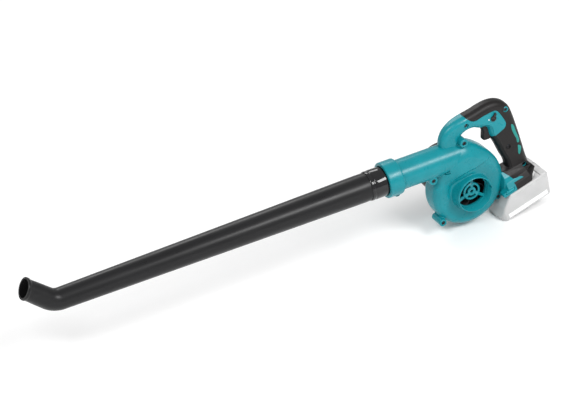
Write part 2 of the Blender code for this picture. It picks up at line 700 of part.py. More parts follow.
def handle():
    """Two handle halves in clamshell, and the soft grip covers moulded over them."""
    outline = handle_outline()
    body = pillow("body", outline, HANDLE_HALF, HANDLE_ROUND)
    near_case = case_solid(GAP)
    add(near_case, pipe_solid(PIPE_RADIUS + GAP, PIPE_FRONT, -25 * MM))
    add(near_case, *[rod(r * MM + GAP, (near - 1) * MM, (far + 5) * MM, (x * MM, 0, z * MM), steps=16)
                     for n, x, z, near, far, r in SCREWS if n.startswith("screw_case")])
    half = TRIGGER_HALF + GAP
    room = box("room", (36 * MM, -half, 92 * MM), (69 * MM, half, 127.5 * MM))
    low = Vector(SWITCH_LOW) - Vector((8 * MM, GAP, GAP))
    high = Vector(SWITCH_HIGH) + Vector((GAP, GAP, GAP))
    add(room, box("room", low, high))
    cover = keep(copy_of(body, "cover"), cover_region(-GAP / 2))
    cut(cover, pillow("core", shrunk(outline, COVER_SKIN), HANDLE_HALF - COVER_SKIN, HANDLE_ROUND - MM))
    skin = cover_region(GAP / 2)
    cut(skin, pillow("core", shrunk(outline, COVER_SKIN + GAP), HANDLE_HALF - COVER_SKIN - GAP,
                     HANDLE_ROUND - MM))
    cut(body, skin)
    base = base_solid()
    under = box("under", (0, -0.1, -0.2), (0.2, 0.1, BASE_LOW_V), frame=battery_axes())
    cut(body, under)
    add(body, base, base_horn())
    coarse = scaled(HANDLE_OUTER) + scaled(HANDLE_INNER)
    hollow = pillow("hollow", shrunk(coarse, COVER_SKIN + HANDLE_WALL + GAP),
                    HANDLE_HALF - COVER_SKIN - HANDLE_WALL, HANDLE_ROUND - 3 * MM, 2)
    pillars = [rod((r - 1) * MM, -0.05, 0.05, (x * MM, 0, z * MM), steps=12)
               for n, x, z, _, _, r in SCREWS if not n.startswith("screw_case")]
    cut(hollow, *pillars)
    cut(hollow, box("floor", (-0.2, -0.1, -0.2), (0.3, 0.1, RAIL_TOP_V + 3 * MM), frame=battery_axes()))
    cut(cover, copy_of(room, "room"))
    cut(body, hollow, room, near_case, rail_slot())
    lever_hole = rod(3.4 * MM, -30 * MM, 0, (LEVER_X, 0, LEVER_Z), steps=20)
    cut(body, lever_hole)
    cut(body, *screw_holes("handle"), *screw_holes("grip"), *screw_holes("base"))
    cut(cover, *screw_holes("handle"), *screw_holes("grip"), *screw_holes("base"))
    for source, stem, finish in ((body, "handle", "case"), (cover, "grip_cover", "soft_black")):
        right = keep(copy_of(source, f"{stem}_right"), half_space(1))
        left = keep(source, half_space(-1))
        named(largest_body(left), f"{stem}_left", finish)
        named(largest_body(right), f"{stem}_right", finish)


def trigger():
    made = prism("trigger", smooth_curve(scaled(TRIGGER_OUTLINE), 2), -TRIGGER_HALF, TRIGGER_HALF)
    return named(made, "trigger", "soft_black")


def switch_module():
    """The trigger switch inside the top of the grip."""
    return box("switch_module", SWITCH_LOW, SWITCH_HIGH, "gloss_black")


def lock_lever():
    """The side lever that holds the trigger on: a disc with an arm, on a short pin."""
    centre = (LEVER_X, 0, LEVER_Z)
    face = -HANDLE_HALF - GAP
    lever = rod(6 * MM, face - 2.6 * MM, face, centre, steps=24)
    arm = [(3 * MM, 4 * MM), (6 * MM, 10 * MM), (2.5 * MM, 12 * MM), (-3 * MM, 4 * MM)]
    add(lever, prism("arm", [(LEVER_X + x, LEVER_Z + z) for x, z in arm], face - 3.4 * MM, face - 0.6 * MM))
    add(lever, rod(3 * MM, face - MM, -12 * MM, centre, steps=20))
    return named(lever, "lock_lever", "soft_black")


def terminal_block():
    """The contact carrier at the front of the rail slot, with its blades."""
    frame = battery_axes()
    front = RAIL_FRONT_U - 4 * MM + GAP
    half = 20 * MM
    block = box("block", (front, -half, RAIL_STEP_V), (front + 3 * MM, half, RAIL_TOP_V), frame=frame)
    for side in BLADE_SIDES:
        blade = box("blade", (front + 2 * MM, (side - 0.5) * MM, RAIL_STEP_V + 1.2 * MM),
                    (front + 14 * MM, (side + 0.5) * MM, RAIL_TOP_V - 1.2 * MM), frame=frame)
        add(block, blade)
    return named(block, "terminal_block", "battery_dark")


# ---------------------------------------------------------------- nozzle


def nozzle_sleeve():
    """A bayonet sleeve: its rear end turns in the collar and its front spigot takes the tube."""
    shoulder = COLLAR_FRONT - GAP
    sleeve = turned("sleeve", (
        (SPIGOT_RADIUS, SLEEVE_REAR), (SPIGOT_RADIUS, shoulder), (SLEEVE_RADIUS - MM, shoulder),
        (SLEEVE_RADIUS, COLLAR_FRONT - 1.5 * MM), (SLEEVE_RADIUS, SLEEVE_FRONT + 1.5 * MM),
        (SLEEVE_RADIUS - MM, SLEEVE_FRONT), (TUBE_SPIGOT, SLEEVE_FRONT), (TUBE_SPIGOT, SPIGOT_FRONT),
        (SLEEVE_BORE, SPIGOT_FRONT), (SLEEVE_BORE, SLEEVE_REAR),
    ), centre=(0, 0, PIPE_Z), axis="X", steps=32, ring=True)
    for side in (-1, 1):
        ys = sorted((side * (SPIGOT_RADIUS - MM), side * 30 * MM))
        lug = box("lug", (-184 * MM, ys[0], PIPE_Z - 4 * MM), (-174 * MM, ys[1], PIPE_Z + 4 * MM))
        add(sleeve, lug)
    return named(sleeve, "nozzle_sleeve", "gloss_black")


def tube_path():
    """Centre, heading and outer radius along the tube, from its rear end to its mouth."""
    rear = SLEEVE_FRONT - GAP
    stations = [(rear + (BEND_X - rear) * t, PIPE_Z, 0.0) for t in (0, 0.035, 0.5, 1)]
    centre = Vector((BEND_X, PIPE_Z + BEND_RADIUS))
    for i in range(1, 5):
        angle = BEND_ANGLE * i / 4
        stations.append((centre.x - BEND_RADIUS * sin(angle), centre.y - BEND_RADIUS * cos(angle), angle))
    x, z, _ = stations[-1]
    middle = (BEND_ANGLE + MOUTH_ANGLE) / 2
    for before, angle in ((5 * MM, middle), (1.5 * MM, MOUTH_ANGLE), (0, MOUTH_ANGLE)):
        length = TIP_LENGTH - before
        stations.append((x - length * cos(BEND_ANGLE), z + length * sin(BEND_ANGLE), angle))
    rows = []
    for x, z, angle in stations:
        share = (x - rear) / (BEND_X - rear)
        radius = TUBE_REAR_RADIUS + (TUBE_FRONT_RADIUS - TUBE_REAR_RADIUS) * share
        if share > 1:
            radius -= (share - 1) * TIP_TAPER
        rows.append([x, z, angle, radius])
    rows[-2][3] += LIP_FLARE
    rows[-1][3] += LIP_FLARE
    return rows


def nozzle_tube():
    """The long tapering tube with its upturned end, open from end to end."""
    rows = tube_path()

    def section(row, inset):
        x, z, angle, radius = row
        across = Vector((sin(angle), 0, cos(angle)))
        points = []
        for i in range(28):
            turn = 2 * pi * i / 28
            offset = Vector((0, cos(turn), 0)) + across * sin(turn)
            points.append(Vector((x, 0, z)) + offset * (radius - inset))
        return points

    outer = [section(row, 0) for row in rows]
    inner = [section(row, TUBE_WALL + (LIP_FLARE if i > len(rows) - 3 else 0)) for i, row in enumerate(rows)]
    return loops_solid("nozzle_tube", outer + inner[::-1], "tube_black", ring=True)


# ---------------------------------------------------------------- battery


def battery_outline(inset=0.0):
    """The pack's side view in U and V: its front leans back to clear the fan case."""
    rear = BATTERY_REAR_U
    outline = [(33 * MM, BATTERY_LOW_V + 6 * MM), (40 * MM, BATTERY_LOW_V), (rear - 12 * MM, BATTERY_LOW_V),
               (rear - 8 * MM, BATTERY_LOW_V + 3 * MM), (rear, -56 * MM), (rear - 4 * MM, BATTERY_HUMP_V),
               (144 * MM, BATTERY_HUMP_V), (144 * MM, BATTERY_TOP_V), (69 * MM, BATTERY_TOP_V),
               (45 * MM, -76 * MM)]
    return shrunk(outline, inset)


def round_front(item, inset=0.0):
    """Rounds the two upright corners at the front of the pack or of its hollow."""
    side = [(0.3, BATTERY_HALF), *scaled(BATTERY_FRONT)]
    plan = shrunk(side + [(u, -y) for u, y in reversed(side)], inset)
    frame = battery_axes()
    loops = [[frame @ Vector((u, y, v)) for u, y in plan] for v in (-0.2, 0.1)]
    return keep(item, loops_solid("plan", loops))


def battery_hollow():
    half = BATTERY_HALF - BATTERY_WALL - 0.2 * MM
    inside = prism("inside", battery_outline(BATTERY_WALL), -half, half, frame=battery_axes())
    return round_front(inside, BATTERY_WALL)


def latch_pocket(top):
    half = LATCH_HALF + 0.5 * MM
    return box("pocket", (BATTERY_REAR_U - LATCH_DEPTH - GAP, -half, LATCH_LOW_V - 5 * MM), (0.2, half, top),
               frame=battery_axes())


def battery_cases():
    """The tub and the rail plate that closes it."""
    frame = battery_axes()
    seam = BATTERY_TOP_V - 8 * MM
    rows = [(battery_outline(3 * MM), BATTERY_HALF), (battery_outline(0.6 * MM), BATTERY_HALF - 2 * MM),
            (battery_outline(0), BATTERY_HALF - 6 * MM)]
    loops = [[frame @ Vector((u, -y, v)) for u, v in row] for row, y in rows]
    loops += [[frame @ Vector((u, y, v)) for u, v in row] for row, y in reversed(rows)]
    pack = round_front(loops_solid("pack", loops))
    tub = copy_of(pack, "tub")
    cut(tub, battery_hollow(), box("top", (0, -0.1, seam), (0.2, 0.1, 0), frame=frame), latch_pocket(0.02))
    add(pack, rail_block(RAIL_FRONT_U, RAIL_REAR_U, BATTERY_TOP_V - 2 * MM, 0))
    cut(pack, box("under", (0, -0.1, -0.2), (0.2, 0.1, seam + GAP), frame=frame), battery_hollow())
    for side in BLADE_SIDES:
        cut(pack, box("slit", (RAIL_FRONT_U - MM, (side - 1.2) * MM, RAIL_STEP_V + 0.4 * MM),
                      (RAIL_FRONT_U + 14 * MM, (side + 1.2) * MM, RAIL_TOP_V + MM), frame=frame))
    cut(pack, latch_pocket(0.02))
    named(pack, "battery_upper_case", "battery_grey")
    named(tub, "battery_lower_case", "battery_grey")


def battery_button():
    """The latch button at the rear of the pack."""
    return box("battery_button", (BATTERY_REAR_U - LATCH_DEPTH, -LATCH_HALF, LATCH_LOW_V),
               (BATTERY_REAR_U - MM, LATCH_HALF, LATCH_TOP_V), "battery_dark", battery_axes())


def battery_cells():
    frame = battery_axes()
    number = 0
    for v in CELL_ROWS_V:
        for k in range(5):
            number += 1
            centre = frame @ Vector((CELL_FRONT_U + k * CELL_PITCH, 0, v))
            turned(f"cell_{number:02d}", ((CELL_RADIUS, -CELL_LENGTH / 2), (CELL_RADIUS, CELL_LENGTH / 2)),
                   "cell_wrap", centre, steps=14)
    low, high = (74 * MM, -25 * MM, BOARD_V), (138 * MM, 25 * MM, BOARD_V + 1.5 * MM)
    box("battery_board", low, high, "board_green", frame)


# ---------------------------------------------------------------- fasteners and assembly


def screws():
    for name, x, z, near, far, _ in SCREWS:
        screw(name, x, z, near, far)
    screw("screw_collar", -156, 45, -8, 5)


def screw(name, x, z, near, far):
    head = near * MM + 0.6 * MM
    under = near * MM + HEAD_DEPTH - GAP
    made = turned(name, ((SCREW_HEAD - 0.8 * MM, head), (SCREW_HEAD, head + 0.8 * MM), (SCREW_HEAD, under),
                         (SCREW_SHANK, under), (SCREW_SHANK, far * MM)), None, (x * MM, 0, z * MM), steps=12)
    cut(made, rod(1.6 * MM, head - MM, head + 1.6 * MM, (x * MM, 0, z * MM), steps=6))
    return named(made, name, "screw_steel")


BODIES = {
    "fan_axis": ((0, 0, 0), ("fan_impeller", "fan_nut", "motor_shaft", "armature", "commutator")),
    "trigger_slide": ((0.058, 0, 0.115), ("trigger",)),
    "lever_pivot": ((LEVER_X, -HANDLE_HALF, LEVER_Z), ("lock_lever",)),
    "sleeve_axis": ((COLLAR_FRONT, 0, PIPE_Z), ("nozzle_sleeve",)),
    "tube_axis": ((SLEEVE_FRONT, 0, PIPE_Z), ("nozzle_tube",)),
    "battery_slide": ((0.1, 0, -0.06), ("battery_lower_case", "battery_upper_case", "battery_board",
                                        *[f"cell_{number:02d}" for number in range(1, 11)])),
    "button_slide": ((0.17, 0, -0.02), ("battery_button",)),
}


def assemble():
    """Hangs every piece under the empty of the body it belongs to, and all of them under the blower."""
    blower = bpy.data.objects.new("blower", None)
    bpy.context.scene.collection.objects.link(blower)
    blower.location = (-MIDDLE_X, -MIDDLE_Y, -BASE_Z)
    solids = {item.name: item for item in bpy.data.objects if item.type == "MESH"}
    for name, (place, pieces) in BODIES.items():
        empty = bpy.data.objects.new(name, None)
        bpy.context.scene.collection.objects.link(empty)
        empty.parent = blower
        empty.location = place
        for piece in pieces:
            solids[piece].parent = empty
            solids[piece].location = -Vector(place)
            del solids[piece]
    for item in solids.values():
        item.parent = blower


def build():
    clear_scene()
    fan_case()
    inlet_guard()
    outlet_collar()
    impeller()
    motor()
    motor_housing()
    motor_cover()
    handle()
    trigger()
    switch_module()
    lock_lever()
    terminal_block()
    nozzle_sleeve()
    nozzle_tube()
    battery_cases()
    battery_button()
    battery_cells()
    screws()
    assemble()


build()
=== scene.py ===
"""Looks of a cordless leaf blower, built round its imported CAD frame.

Working axes, as in the CAD source: the fan turns about Y through X = 0, Z = 0, the nozzle points along -X,
the air inlet faces -Y and +Z is up. Every new mesh is made there, then moved by ORIGIN into the row frame.
Outlines and tables written without MM are in millimetres, and scaled() turns pairs of them into metres.
"""

from math import cos, pi, radians, sin

import bmesh
import bpy
import numpy as np
from mathutils import Euler, Matrix, Vector


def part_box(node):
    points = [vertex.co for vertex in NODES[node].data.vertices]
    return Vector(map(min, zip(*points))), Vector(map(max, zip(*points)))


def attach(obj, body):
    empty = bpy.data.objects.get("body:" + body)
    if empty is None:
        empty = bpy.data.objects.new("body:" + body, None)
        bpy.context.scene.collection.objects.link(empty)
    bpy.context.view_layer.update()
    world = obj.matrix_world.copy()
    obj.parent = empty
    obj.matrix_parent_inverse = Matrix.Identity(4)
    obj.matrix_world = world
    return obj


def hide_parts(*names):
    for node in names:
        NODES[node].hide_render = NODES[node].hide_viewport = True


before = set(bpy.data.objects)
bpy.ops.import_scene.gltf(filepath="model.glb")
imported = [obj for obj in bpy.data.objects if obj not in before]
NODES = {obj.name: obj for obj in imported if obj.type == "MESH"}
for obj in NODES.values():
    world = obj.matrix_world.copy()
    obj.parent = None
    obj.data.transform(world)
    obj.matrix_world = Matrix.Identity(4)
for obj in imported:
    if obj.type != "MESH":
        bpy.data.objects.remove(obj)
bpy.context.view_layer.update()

MM = 0.001
SEAM = 0.15 * MM  # half the gap between two moulded halves
GROOVE = 0.35 * MM  # gap between the hard case and the soft cover
COARSE = 1.0
CASE_VOXEL = 0.9 * MM * COARSE
HANDLE_VOXEL = 0.65 * MM * COARSE


def working_origin():
    """Where the working axes' origin lies in the row frame: the shaft's front end is at Y = -5 mm."""
    low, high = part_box("motor_shaft")
    return Vector(((low.x + high.x) / 2, low.y + 5 * MM, (low.z + high.z) / 2))


ORIGIN = working_origin()

# Fan case, as in the CAD source: degrees round the fan, and there the radius, each side's depth and rounding
CASE_TURN = (-30, 0, 25, 47, 65, 80, 88, 98, 106, 116, 128, 147, 200, 330)
CASE_RADIUS = (79.5, 80, 82, 86, 92.5, 102.5, 110, 113.5, 112, 106, 94, 80, 79.5, 79)
CASE_NEAR = (16, 18, 21, 24, 27, 30, 30.5, 30.5, 30.5, 29, 24, 16, 15, 16)
CASE_FAR = (34, 34, 34, 34, 33, 32, 31, 30.5, 30.5, 31, 33, 34, 34, 34)
NEAR_ROUND = (13, 14, 16, 18, 22, 26, 27, 27, 26, 24, 18, 13, 13, 13)
FAR_ROUND = (11, 11, 12, 14, 18, 24, 27, 27, 26, 24, 16, 11, 11, 11)
CREASE_TURN = (40, 50, 56, 66, 78, 96, 120, 146, 166, 186)  # where the face's raised part begins
CREASE_RADIUS = (96, 84, 73, 62, 54, 52.3, 52.4, 51, 49, 47)
CREASE_STEP = (0, 0.8, 1, 1, 1, 1, 1, 1, 0.9, 0)  # share of the full height
CREASE_HEIGHT, CREASE_WIDTH = 2.3 * MM, 1.3 * MM
RIM_TURN = radians(64)  # how far round its arc the rim's rounding goes on each side
FACE_INNER, FACE_DISH = 44 * MM, 2 * MM
PIPE_Z = 82 * MM
PIPE_RADIUS = 30.7 * MM
PIPE_FRONT, PIPE_REAR = -170 * MM, -14 * MM
COLLAR_FRONT, COLLAR_REAR = -182 * MM, -150 * MM
TUBE_REAR, TUBE_BEND = -218.3 * MM, -862 * MM  # the tube's rear edge and where its bend begins
TUBE_WALL = 2.2 * MM
SCREW_NODES = [name for name in NODES if name.startswith("screw_")]
HEAD_SINK = 0.6 * MM  # how far a screw's head lies under the face round it
HEAD_ROOM = 4.2 * MM
BOSS_RADIUS = {"screw_case_bottom": 8, "screw_case_rear": 6.5}  # the other case bosses have 9 mm

# Handle: side outlines as (X, Z), and how the arch narrows towards its foot
HANDLE_OUTER = (
    (-53, 80), (-52.5, 118), (-46, 137), (-35, 149), (-18, 158.5), (1, 163.5), (24, 168), (45, 173.5),
    (64, 176), (82, 173.5), (97, 165.5), (107.5, 152.5), (114, 134), (120.5, 108), (126.5, 82), (132, 56),
    (137, 32), (141, 14), (139, -6), (136, -46),
)
HANDLE_INNER = (
    (93, -50), (93, 0), (91, 27), (82, 49), (76, 65), (70, 80), (62, 96), (57.5, 108), (56, 119),
    (50, 125), (38, 126), (31, 129), (23, 132), (10, 132), (-2, 127), (-11, 115), (-15, 80),
)
HANDLE_HALF = 16.5 * MM
HANDLE_ROUND = 13 * MM
FOOT_FRONT, FOOT_SHARE = -45 * MM, 0.74
COVER_EDGE = (
    (-24, 200), (16, 153.4), (45, 155.2), (64, 158), (73, 157.4), (79, 152), (87, 138), (93, 125),
    (93.5, 118), (89, 111), (75, 104), (61, 98), (46, 91),
)
COVER_REST = ((46, 30), (170, 30), (170, 200))
SADDLE = (  # plan of the cover's saddle, as (U, Y) of the battery mount
    (71, -4), (86.5, -24.5), (89.5, -27), (96, -28.2), (103, -28.8), (107, -30), (109.6, -32.4),
    (110.6, -35.4), (111, -60), (170, -60),
)
LEVER_X, LEVER_Z = 66 * MM, 142 * MM
LEVER_ARM = ((1.5, 3.5), (4.6, 5.5), (6.2, 10), (4.6, 12), (2.4, 11.2), (0.2, 7.5), (-3, 4.6))
TRIGGER_OUTLINE = (
    (62, 127), (62, 97), (59, 93), (49, 93), (45.5, 95.5), (46, 104), (47, 113), (45, 121), (44, 127),
)
ACCENTS = (
    ((105, 114), (111, 110), (115, 95), (120.5, 78), (121, 69.5), (116, 69), (114.5, 78), (109.5, 90.5),
     (106, 102)),
    ((117.3, 62.4), (124, 56.6), (123.4, 49.5), (119.5, 40.4), (116.7, 43.6), (116.6, 54.2)),
)

# Battery and its mount: U runs back along the tilted rails, V square to them
BATTERY_TILT = radians(15)
BASE_HALF = 37 * MM
BASE_FRONT_U, BASE_REAR_U = 60 * MM, 139 * MM
BASE_LOW_V, BASE_SIDE_V, BASE_TOP_V = -52 * MM, -37 * MM, -20 * MM
BATTERY_HALF = 37.5 * MM
BATTERY_LOW_V, BATTERY_TOP_V, BATTERY_HUMP_V = -106.5 * MM, -52.3 * MM, -50 * MM
BATTERY_REAR_U = 160 * MM
BATTERY_FRONT = ((44, 37.5), (39, 33), (35, 25), (33, 12))
RAIL_SECTION = (  # as (Y, V)
    (-24, -54), (24, -54), (24, -45), (28, -45), (28, -39.5), (-28, -39.5), (-28, -45), (-24, -45),
)

# Camera: place from ORIGIN in metres, turn in degrees and lens in millimetres, fitted to the photo's view
CAMERA_PLACE = (-1.5875, -3.0637, 2.1174)
CAMERA_TURN = (58.42, 7.204, -25.731)
CAMERA_LENS = 126.316


# ---------------------------------------------------------------- mesh helpers


def mesh_object(name, bm):
    """Turns a bmesh into a linked object and frees it."""
    bmesh.ops.recalc_face_normals(bm, faces=bm.faces)
    mesh = bpy.data.meshes.new(name)
    bm.to_mesh(mesh)
    bm.free()
    made = bpy.data.objects.new(name, mesh)
    bpy.context.scene.collection.objects.link(made)
    return made


def loops_solid(name, loops, ring=False):
    """A skin over loops with equal point counts. Ends are capped, or with ring the last joins the first."""
    bm = bmesh.new()
    rows = [[bm.verts.new(point) for point in loop] for loop in loops]
    count = len(loops[0])
    pairs = list(zip(rows, rows[1:]))
    if ring:
        pairs.append((rows[-1], rows[0]))
    for low, high in pairs:
        for i in range(count):
            j = (i + 1) % count
            bm.faces.new((low[i], low[j], high[j], high[i]))
    if not ring:
        bm.faces.new(rows[0])
        bm.faces.new(rows[-1])
    return mesh_object(name, bm)


def circle(radius, along, centre=(0, 0, 0), axis="Y", steps=96):
    """Points round an axis, at a distance along it."""
    points = []
    for i in range(steps):
        a, b = radius * cos(2 * pi * i / steps), radius * sin(2 * pi * i / steps)
        offset = {"X": (along, a, b), "Y": (a, along, b), "Z": (a, b, along)}[axis]
        points.append(Vector(offset) + Vector(centre))
    return points


def turned(name, profile, centre=(0, 0, 0), axis="Y", steps=96, ring=False):
    """A turned piece: profile is (radius, distance along the axis) pairs."""
    return loops_solid(name, [circle(r, d, centre, axis, steps) for r, d in profile], ring)


def rod(radius, low, high, centre=(0, 0, 0), axis="Y", steps=64):
    """A plain cylinder between two distances along an axis."""
    return turned("tool", ((radius, low), (radius, high)), centre, axis, steps)


def box(name, low, high, place=None):
    """A block between two corners, moved by a matrix."""
    bm = bmesh.new()
    bmesh.ops.create_cube(bm, size=1)
    size = [b - a for a, b in zip(low, high)]
    middle = [(a + b) / 2 for a, b in zip(low, high)]
    matrix = (place or Matrix()) @ Matrix.Translation(middle) @ Matrix.Diagonal((*size, 1))
    bmesh.ops.transform(bm, matrix=matrix, verts=bm.verts)
    return mesh_object(name, bm)


def prism(name, outline, low, high, place=None):
    """A plate between two Y planes, from an outline of (X, Z) points."""
    matrix = place or Matrix()
    return loops_solid(name, [[matrix @ Vector((x, y, z)) for x, z in outline] for y in (low, high)])


def applied(item):
    """Replaces an object's mesh by what its modifiers make of it."""
    graph = bpy.context.evaluated_depsgraph_get()
    mesh = bpy.data.meshes.new_from_object(item.evaluated_get(graph))
    item.modifiers.clear()
    old = item.data
    item.data = mesh
    bpy.data.meshes.remove(old)
    return item


def solid_step(target, tool, operation):
    """Applies one Boolean with a tool and deletes the tool."""
    step = target.modifiers.new(operation, "BOOLEAN")
    step.operation = operation
    step.solver = "EXACT"
    step.object = tool
    applied(target)
    bpy.data.objects.remove(tool, do_unlink=True)
    return target


def cut(target, tool):
    """Takes the tool away from the target."""
    return solid_step(target, tool, "DIFFERENCE")


def keep(target, tool):
    """Keeps only what lies inside the tool."""
    return solid_step(target, tool, "INTERSECT")


def add(target, *tools):
    """Joins each tool to the target as one solid."""
    for tool in tools:
        solid_step(target, tool, "UNION")
    return target


def gathered(items):
    """Several meshes as one object, left as they are."""
    bm = bmesh.new()
    for item in items:
        bm.from_mesh(item.data)
        bpy.data.objects.remove(item, do_unlink=True)
    return mesh_object("gathered", bm)


def copy_of(source):
    """A linked copy with a mesh of its own."""
    made = source.copy()
    made.data = source.data.copy()
    bpy.context.scene.collection.objects.link(made)
    return made


def melted(items, voxel, smoothing):
    """Overlapping solids fused into one skin with soft fillets where they meet."""
    made = gathered(items)
    remesh = made.modifiers.new("fuse", "REMESH")
    remesh.mode = "VOXEL"
    remesh.voxel_size = voxel
    smooth = made.modifiers.new("soften", "SMOOTH")
    smooth.factor = 0.5
    smooth.iterations = smoothing
    return applied(made)


def half_of(source, side):
    """The part of a solid on one side of the parting plane, closed with a flat face."""
    made = copy_of(source)
    bm = bmesh.new()
    bm.from_mesh(made.data)
    bmesh.ops.bisect_plane(bm, geom=[*bm.verts, *bm.edges, *bm.faces], plane_co=(0, side * SEAM, 0),
                           plane_no=(0, -side, 0), clear_outer=True)
    bmesh.ops.triangle_fill(bm, use_beauty=False, use_dissolve=False, normal=(0, side, 0),
                            edges=[edge_highlight_mask for edge_highlight_mask in bm.edges if edge_highlight_mask.is_boundary])
    bmesh.ops.recalc_face_normals(bm, faces=bm.faces)
    bm.to_mesh(made.data)
    bm.free()
    return made


def finished(item, name, body, look, nodes=(), angle=32):
    """Moves a piece into the row frame, gives it its material, hangs it under its body and hides the CAD
    nodes it stands for.
    """
    item.name = name
    item.data.name = name
    item.data.transform(Matrix.Translation(ORIGIN))
    item.data.materials.clear()
    item.data.materials.append(look)
    for face in item.data.polygons:
        face.material_index = 0
    item.data.shade_smooth()
    item.data.set_sharp_from_angle(angle=radians(angle))
    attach(item, body)
    if nodes:
        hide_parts(*nodes)
    return item


def bevelled(item, width, segments=2, angle=30):
    """Rounds a piece's sharp edges."""
    step = item.modifiers.new("edges", "BEVEL")
    step.width = width
    step.segments = segments
    step.limit_method = "ANGLE"
    step.angle_limit = radians(angle)
    step.harden_normals = False
    return applied(item)


def spline(points, steps):
    """Catmull-Rom points along the given ones, from the second to the last but one."""
    made = []
    for p0, p1, p2, p3 in zip(points, points[1:], points[2:], points[3:]):
        for i in range(steps):
            t = i / steps
            made.append(tuple(
                0.5 * (2 * b + (c - a) * t + (2 * a - 5 * b + 4 * c - d) * t**2
                       + (3 * b - a - 3 * c + d) * t**3)
                for a, b, c, d in zip(p0, p1, p2, p3)
            ))
    return made


def smooth_curve(points, steps):
    """A smooth line through the given points, with its ends kept."""
    return [*spline([points[0], *points, points[-1]], steps), tuple(points[-1])]


def closed_curve(points, steps):
    """A smooth closed outline through the given points."""
    return spline([points[-1], *points, points[0], points[1]], steps)


def shrunk(outline, distance):
    """An outline moved inwards by a distance, point by point along its corner bisectors."""
    area = sum(a[0] * b[1] - b[0] * a[1] for a, b in zip(outline, outline[1:] + outline[:1]))
    side = 1 if area > 0 else -1
    made = []
    for before, here, after in zip(outline[-1:] + outline[:-1], outline, outline[1:] + outline[:1]):
        first = Vector((here[0] - before[0], here[1] - before[1])).normalized()
        second = Vector((after[0] - here[0], after[1] - here[1])).normalized()
        bisector = Vector((-first.y - second.y, first.x + second.x)).normalized()
        stretch = 1 / max(0.5, bisector.dot(Vector((-first.y, first.x))))
        made.append((here[0] + side * bisector.x * distance * stretch,
                     here[1] + side * bisector.y * distance * stretch))
    return made


def scaled(points):
    """Pairs in millimetres as pairs in metres."""
    return [(x * MM, z * MM) for x, z in points]


def pillow(name, outline, half, rounding, steps=8):
    """A plate centred on Y = 0 whose two rims are rounded."""
    turns = [pi / 2 * i / steps for i in range(steps + 1)]
    side = [(rounding * (1 - cos(a)), half - rounding + rounding * sin(a)) for a in turns]
    loops = []
    for inset, y in [(d, -y) for d, y in reversed(side)] + side:
        loops.append([(x, y, z) for x, z in shrunk(outline, inset)])
    return loops_solid(name, loops)


def battery_axes():
    """U, Y and V of the battery mount, as columns."""
    c, s = cos(BATTERY_TILT), sin(BATTERY_TILT)
    return Matrix(((c, 0, -s, 0), (0, 1, 0, 0), (s, 0, c, 0), (0, 0, 0, 1)))


def screw_place(node):
    """A point on a screw's axis, the Y of the face round its head, and the Y of its far end."""
    low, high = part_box(node)
    low, high = low - ORIGIN, high - ORIGIN
    return ((low.x + high.x) / 2, 0, (low.z + high.z) / 2), low.y - HEAD_SINK, high.y


def ring_of_boxes(name, count, low, high, shift=0):
    """Equal blocks all round the fan's axis. The first is turned by a share of the spacing."""
    turns = [2 * pi * (i + shift) / count for i in range(count)]
    return [box(name, low, high, Matrix.Rotation(turn, 4, "Y")) for turn in turns]


# ---------------------------------------------------------------- materials


